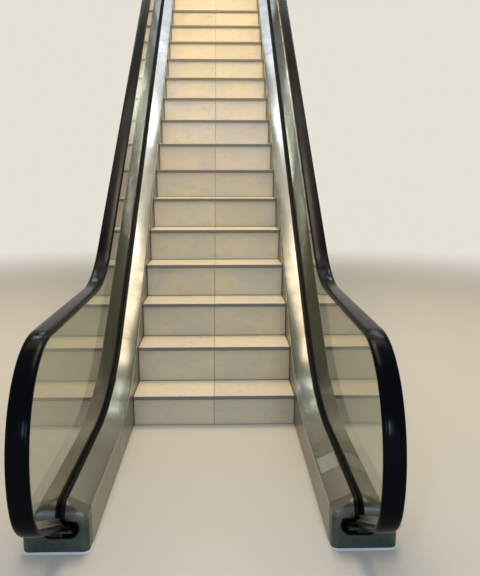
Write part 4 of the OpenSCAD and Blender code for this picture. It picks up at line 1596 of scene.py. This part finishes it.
DAYLIGHT = "#b2d0ff"
TUBE_WHITE = "#f6fbff"
LAMPS = (
    Lamp("overhead", (0.0, 0.3, 6.5), (0, 0.8, 0), (2.4, 4.0), 220, "#fff3e2"),
    Lamp("upper_warm", (0.0, 1.6, 6.9), (0, 4.6, 3.2), (2.4, 1.6), 120, "#ffe6c2"),
    # Daylight from behind the camera. It comes in between the two lines of glass, which would shade it.
    Lamp("left_window", (-0.9, -6.2, 2.9), (0, 0, 0.6), (0.3, 0.7), 66, DAYLIGHT),
    Lamp("right_window", (1.0, -6.2, 2.8), (0, 0, 0.6), (0.3, 0.7), 80, DAYLIGHT),
    # Panels and tubes that the decking mirrors, at the places where it turns light towards the camera
    Lamp.level("cream_panel", (0.0, 2.3, 6.6), (7.0, 1.9), 80, "#ffe7c4"),
    Lamp.level("middle_panel", (0.0, 4.0, 6.6), (5.0, 1.4), 12, "#f4ecd8"),
    Lamp.level("cool_panel", (0.25, 6.6, 6.6), (2.9, 1.9), 18, "#e4eeff"),
    Lamp.level("low_tube", (0.0, 2.92, 6.55), (5.4, 0.14), 14, TUBE_WHITE),
    Lamp.level("middle_tube", (0.0, 4.87, 6.55), (3.6, 0.34), 26, TUBE_WHITE),
    Lamp.level("high_tube", (0.0, 5.87, 6.55), (2.6, 0.14), 3, TUBE_WHITE),
    # Spots beyond the flight that the round ends of the handrails mirror
    *(Lamp(f"{name}_{side.word}", (side * 2.8, y, 6.5), (0, -0.5, 0.3), (1.0, 0.16), 20, TUBE_WHITE)
      for side in Side for name, y in (("near_spot", 5.3), ("far_spot", 8.0))),
)


@dataclass
class Studio:
    """The camera at the photograph's place, soft light and a pale floor."""

    line: GuideLine
    # The photograph's frame in pixels, the lens in the same unit, and the row of its axis
    frame_h: float = 576
    focal: float = 702.9
    axis_row: float = 320.5
    sensor: float = 36.0
    distance: float = 4.209
    height: float = 1.537
    offset: float = 0.05
    pitch: float = math.radians(11.66)
    turn: float = math.radians(-1.52)
    # The backdrop that shows, the floor, the dim band above both, and the even light
    backdrop: str = "#e6e1d6"
    floor: str = "#c0baab"
    dim: str = "#6f6d62"
    sky: str = "#ffffff"
    backdrop_top: float = math.radians(12)
    dim_from: float = math.radians(26)
    skylight: float = 0.5
    # The floor's half width, how far it lies under the part, and where it fades out
    floor_half: float = 60.0
    floor_drop: float = 0.5 * MM
    floor_roughness: float = 0.6
    fade: Point = (4.0, 9.5)

    def build_camera(self) -> None:
        """Sets up the camera."""
        data = bpy.data.cameras.new("camera")
        data.sensor_width = self.sensor
        data.lens = self.sensor * self.focal / self.frame_h
        data.shift_y = (self.axis_row - self.frame_h / 2) / self.frame_h
        data.clip_start, data.clip_end = 0.05, 100
        camera = bpy.data.objects.new("camera", data)
        camera.location = (self.offset, self.line.riser_y - self.distance, self.height)
        camera.rotation_euler = (math.pi / 2 - self.pitch, 0, self.turn)
        bpy.context.scene.collection.objects.link(camera)
        bpy.context.scene.camera = camera

    def build(self) -> None:
        """Lights the object and lays the floor."""
        self.build_world()
        self.build_floor()
        for lamp in LAMPS:
            lamp.hang()

    def seen_rays(self, tree: bpy.types.NodeTree) -> bpy.types.NodeSocket:
        """Tells the rays by which the background is seen: straight, mirrored or through glass.

        Args:
            tree: The tree that takes the nodes.

        Returns:
            A socket that is 1 on those rays and 0 on the rest.
        """
        path = add_node(tree, "LightPath")
        straight = add_node(tree, "Math", {"operation": "MAXIMUM"},
                            {0: path.outputs["Is Camera Ray"], 1: path.outputs["Is Transmission Ray"]})
        any_way = add_node(tree, "Math", {"operation": "MAXIMUM"},
                           {0: straight.outputs["Value"], 1: path.outputs["Is Glossy Ray"]})
        return any_way.outputs["Value"]

    def build_world(self) -> None:
        """Gives even light, and a pale backdrop under a dim band where the background is seen."""
        world = bpy.data.worlds.new("studio")
        bpy.context.scene.world = world
        world.use_nodes = True
        tree = world.node_tree
        back = tree.nodes["Background"]
        seen = self.seen_rays(tree)
        strength = add_node(tree, "MapRange", {"To Min": self.skylight, "To Max": 1.0}, {"Value": seen})
        way = add_node(tree, "SeparateXYZ", {}, {"Vector": add_node(tree, "TexCoord").outputs["Generated"]})
        height = add_node(tree, "MapRange",
                          {"From Min": math.sin(self.backdrop_top), "From Max": math.sin(self.dim_from),
                           "interpolation_type": "SMOOTHSTEP"}, {"Value": way.outputs["Z"]})
        above = add_node(tree, "Mix", BLEND | {MixSocket.A: srgb(self.backdrop), MixSocket.B: srgb(self.dim)},
                         {MixSocket.FACTOR: height.outputs["Result"]})
        colour = add_node(tree, "Mix", BLEND | {MixSocket.A: srgb(self.sky)},
                          {MixSocket.FACTOR: seen, MixSocket.B: above.outputs[MixSocket.RESULT]})
        tree.links.new(colour.outputs[MixSocket.RESULT], back.inputs["Color"])
        tree.links.new(strength.outputs["Result"], back.inputs["Strength"])

    def build_floor(self) -> None:
        """Lays a plain pale floor that keeps the object's shadow and fades into the backdrop."""
        half, low = self.floor_half, -self.floor_drop
        mesh = bpy.data.meshes.new("studio_floor")
        mesh.from_pydata([(-half, -half, low), (half, -half, low), (half, half, low), (-half, half, low)], [],
                         [(0, 1, 2, 3)])
        material = bpy.data.materials.new("studio_floor_paint")
        material.use_nodes = True
        tree = material.node_tree
        shader = tree.nodes["Principled BSDF"]
        shader.inputs["Base Color"].default_value = srgb(self.floor)
        shader.inputs["Roughness"].default_value = self.floor_roughness
        place = add_node(tree, "TexCoord")
        away = add_node(tree, "VectorMath", {"operation": "DISTANCE", 1: (0, self.line.landing_y / 3, 0)},
                        {0: place.outputs["Object"]})
        fade = add_node(tree, "MapRange", {"From Min": self.fade[0], "From Max": self.fade[1],
                                           "interpolation_type": "SMOOTHSTEP"},
                        {"Value": away.outputs["Value"]})
        shown = add_node(tree, "Math", {"operation": "MULTIPLY"},
                         {0: fade.outputs["Result"], 1: self.seen_rays(tree)})
        pale = add_node(tree, "Emission", {"Color": srgb(self.backdrop)})
        mix = add_node(tree, "MixShader", {}, {0: shown.outputs["Value"], 1: shader.outputs["BSDF"],
                                               2: pale.outputs["Emission"]})
        tree.links.new(mix.outputs["Shader"], tree.nodes["Material Output"].inputs["Surface"])
        mesh.materials.append(material)
        floor = bpy.data.objects.new("studio_floor", mesh)
        bpy.context.scene.collection.objects.link(floor)


def main() -> None:
    """Builds the camera, the object and the studio in order."""
    logging.basicConfig(level=logging.INFO, format="%(name)s: %(message)s")
    bpy.context.scene.view_settings.view_transform = "Standard"
    line = GuideLine()
    studio = Studio(line)
    studio.build_camera()
    TiledStair(line, random.Random(7)).build()
    for side in Side:
        Balustrade(line, side).build()
    Structure().build()
    studio.build()


if __name__ == "__main__":
    main()
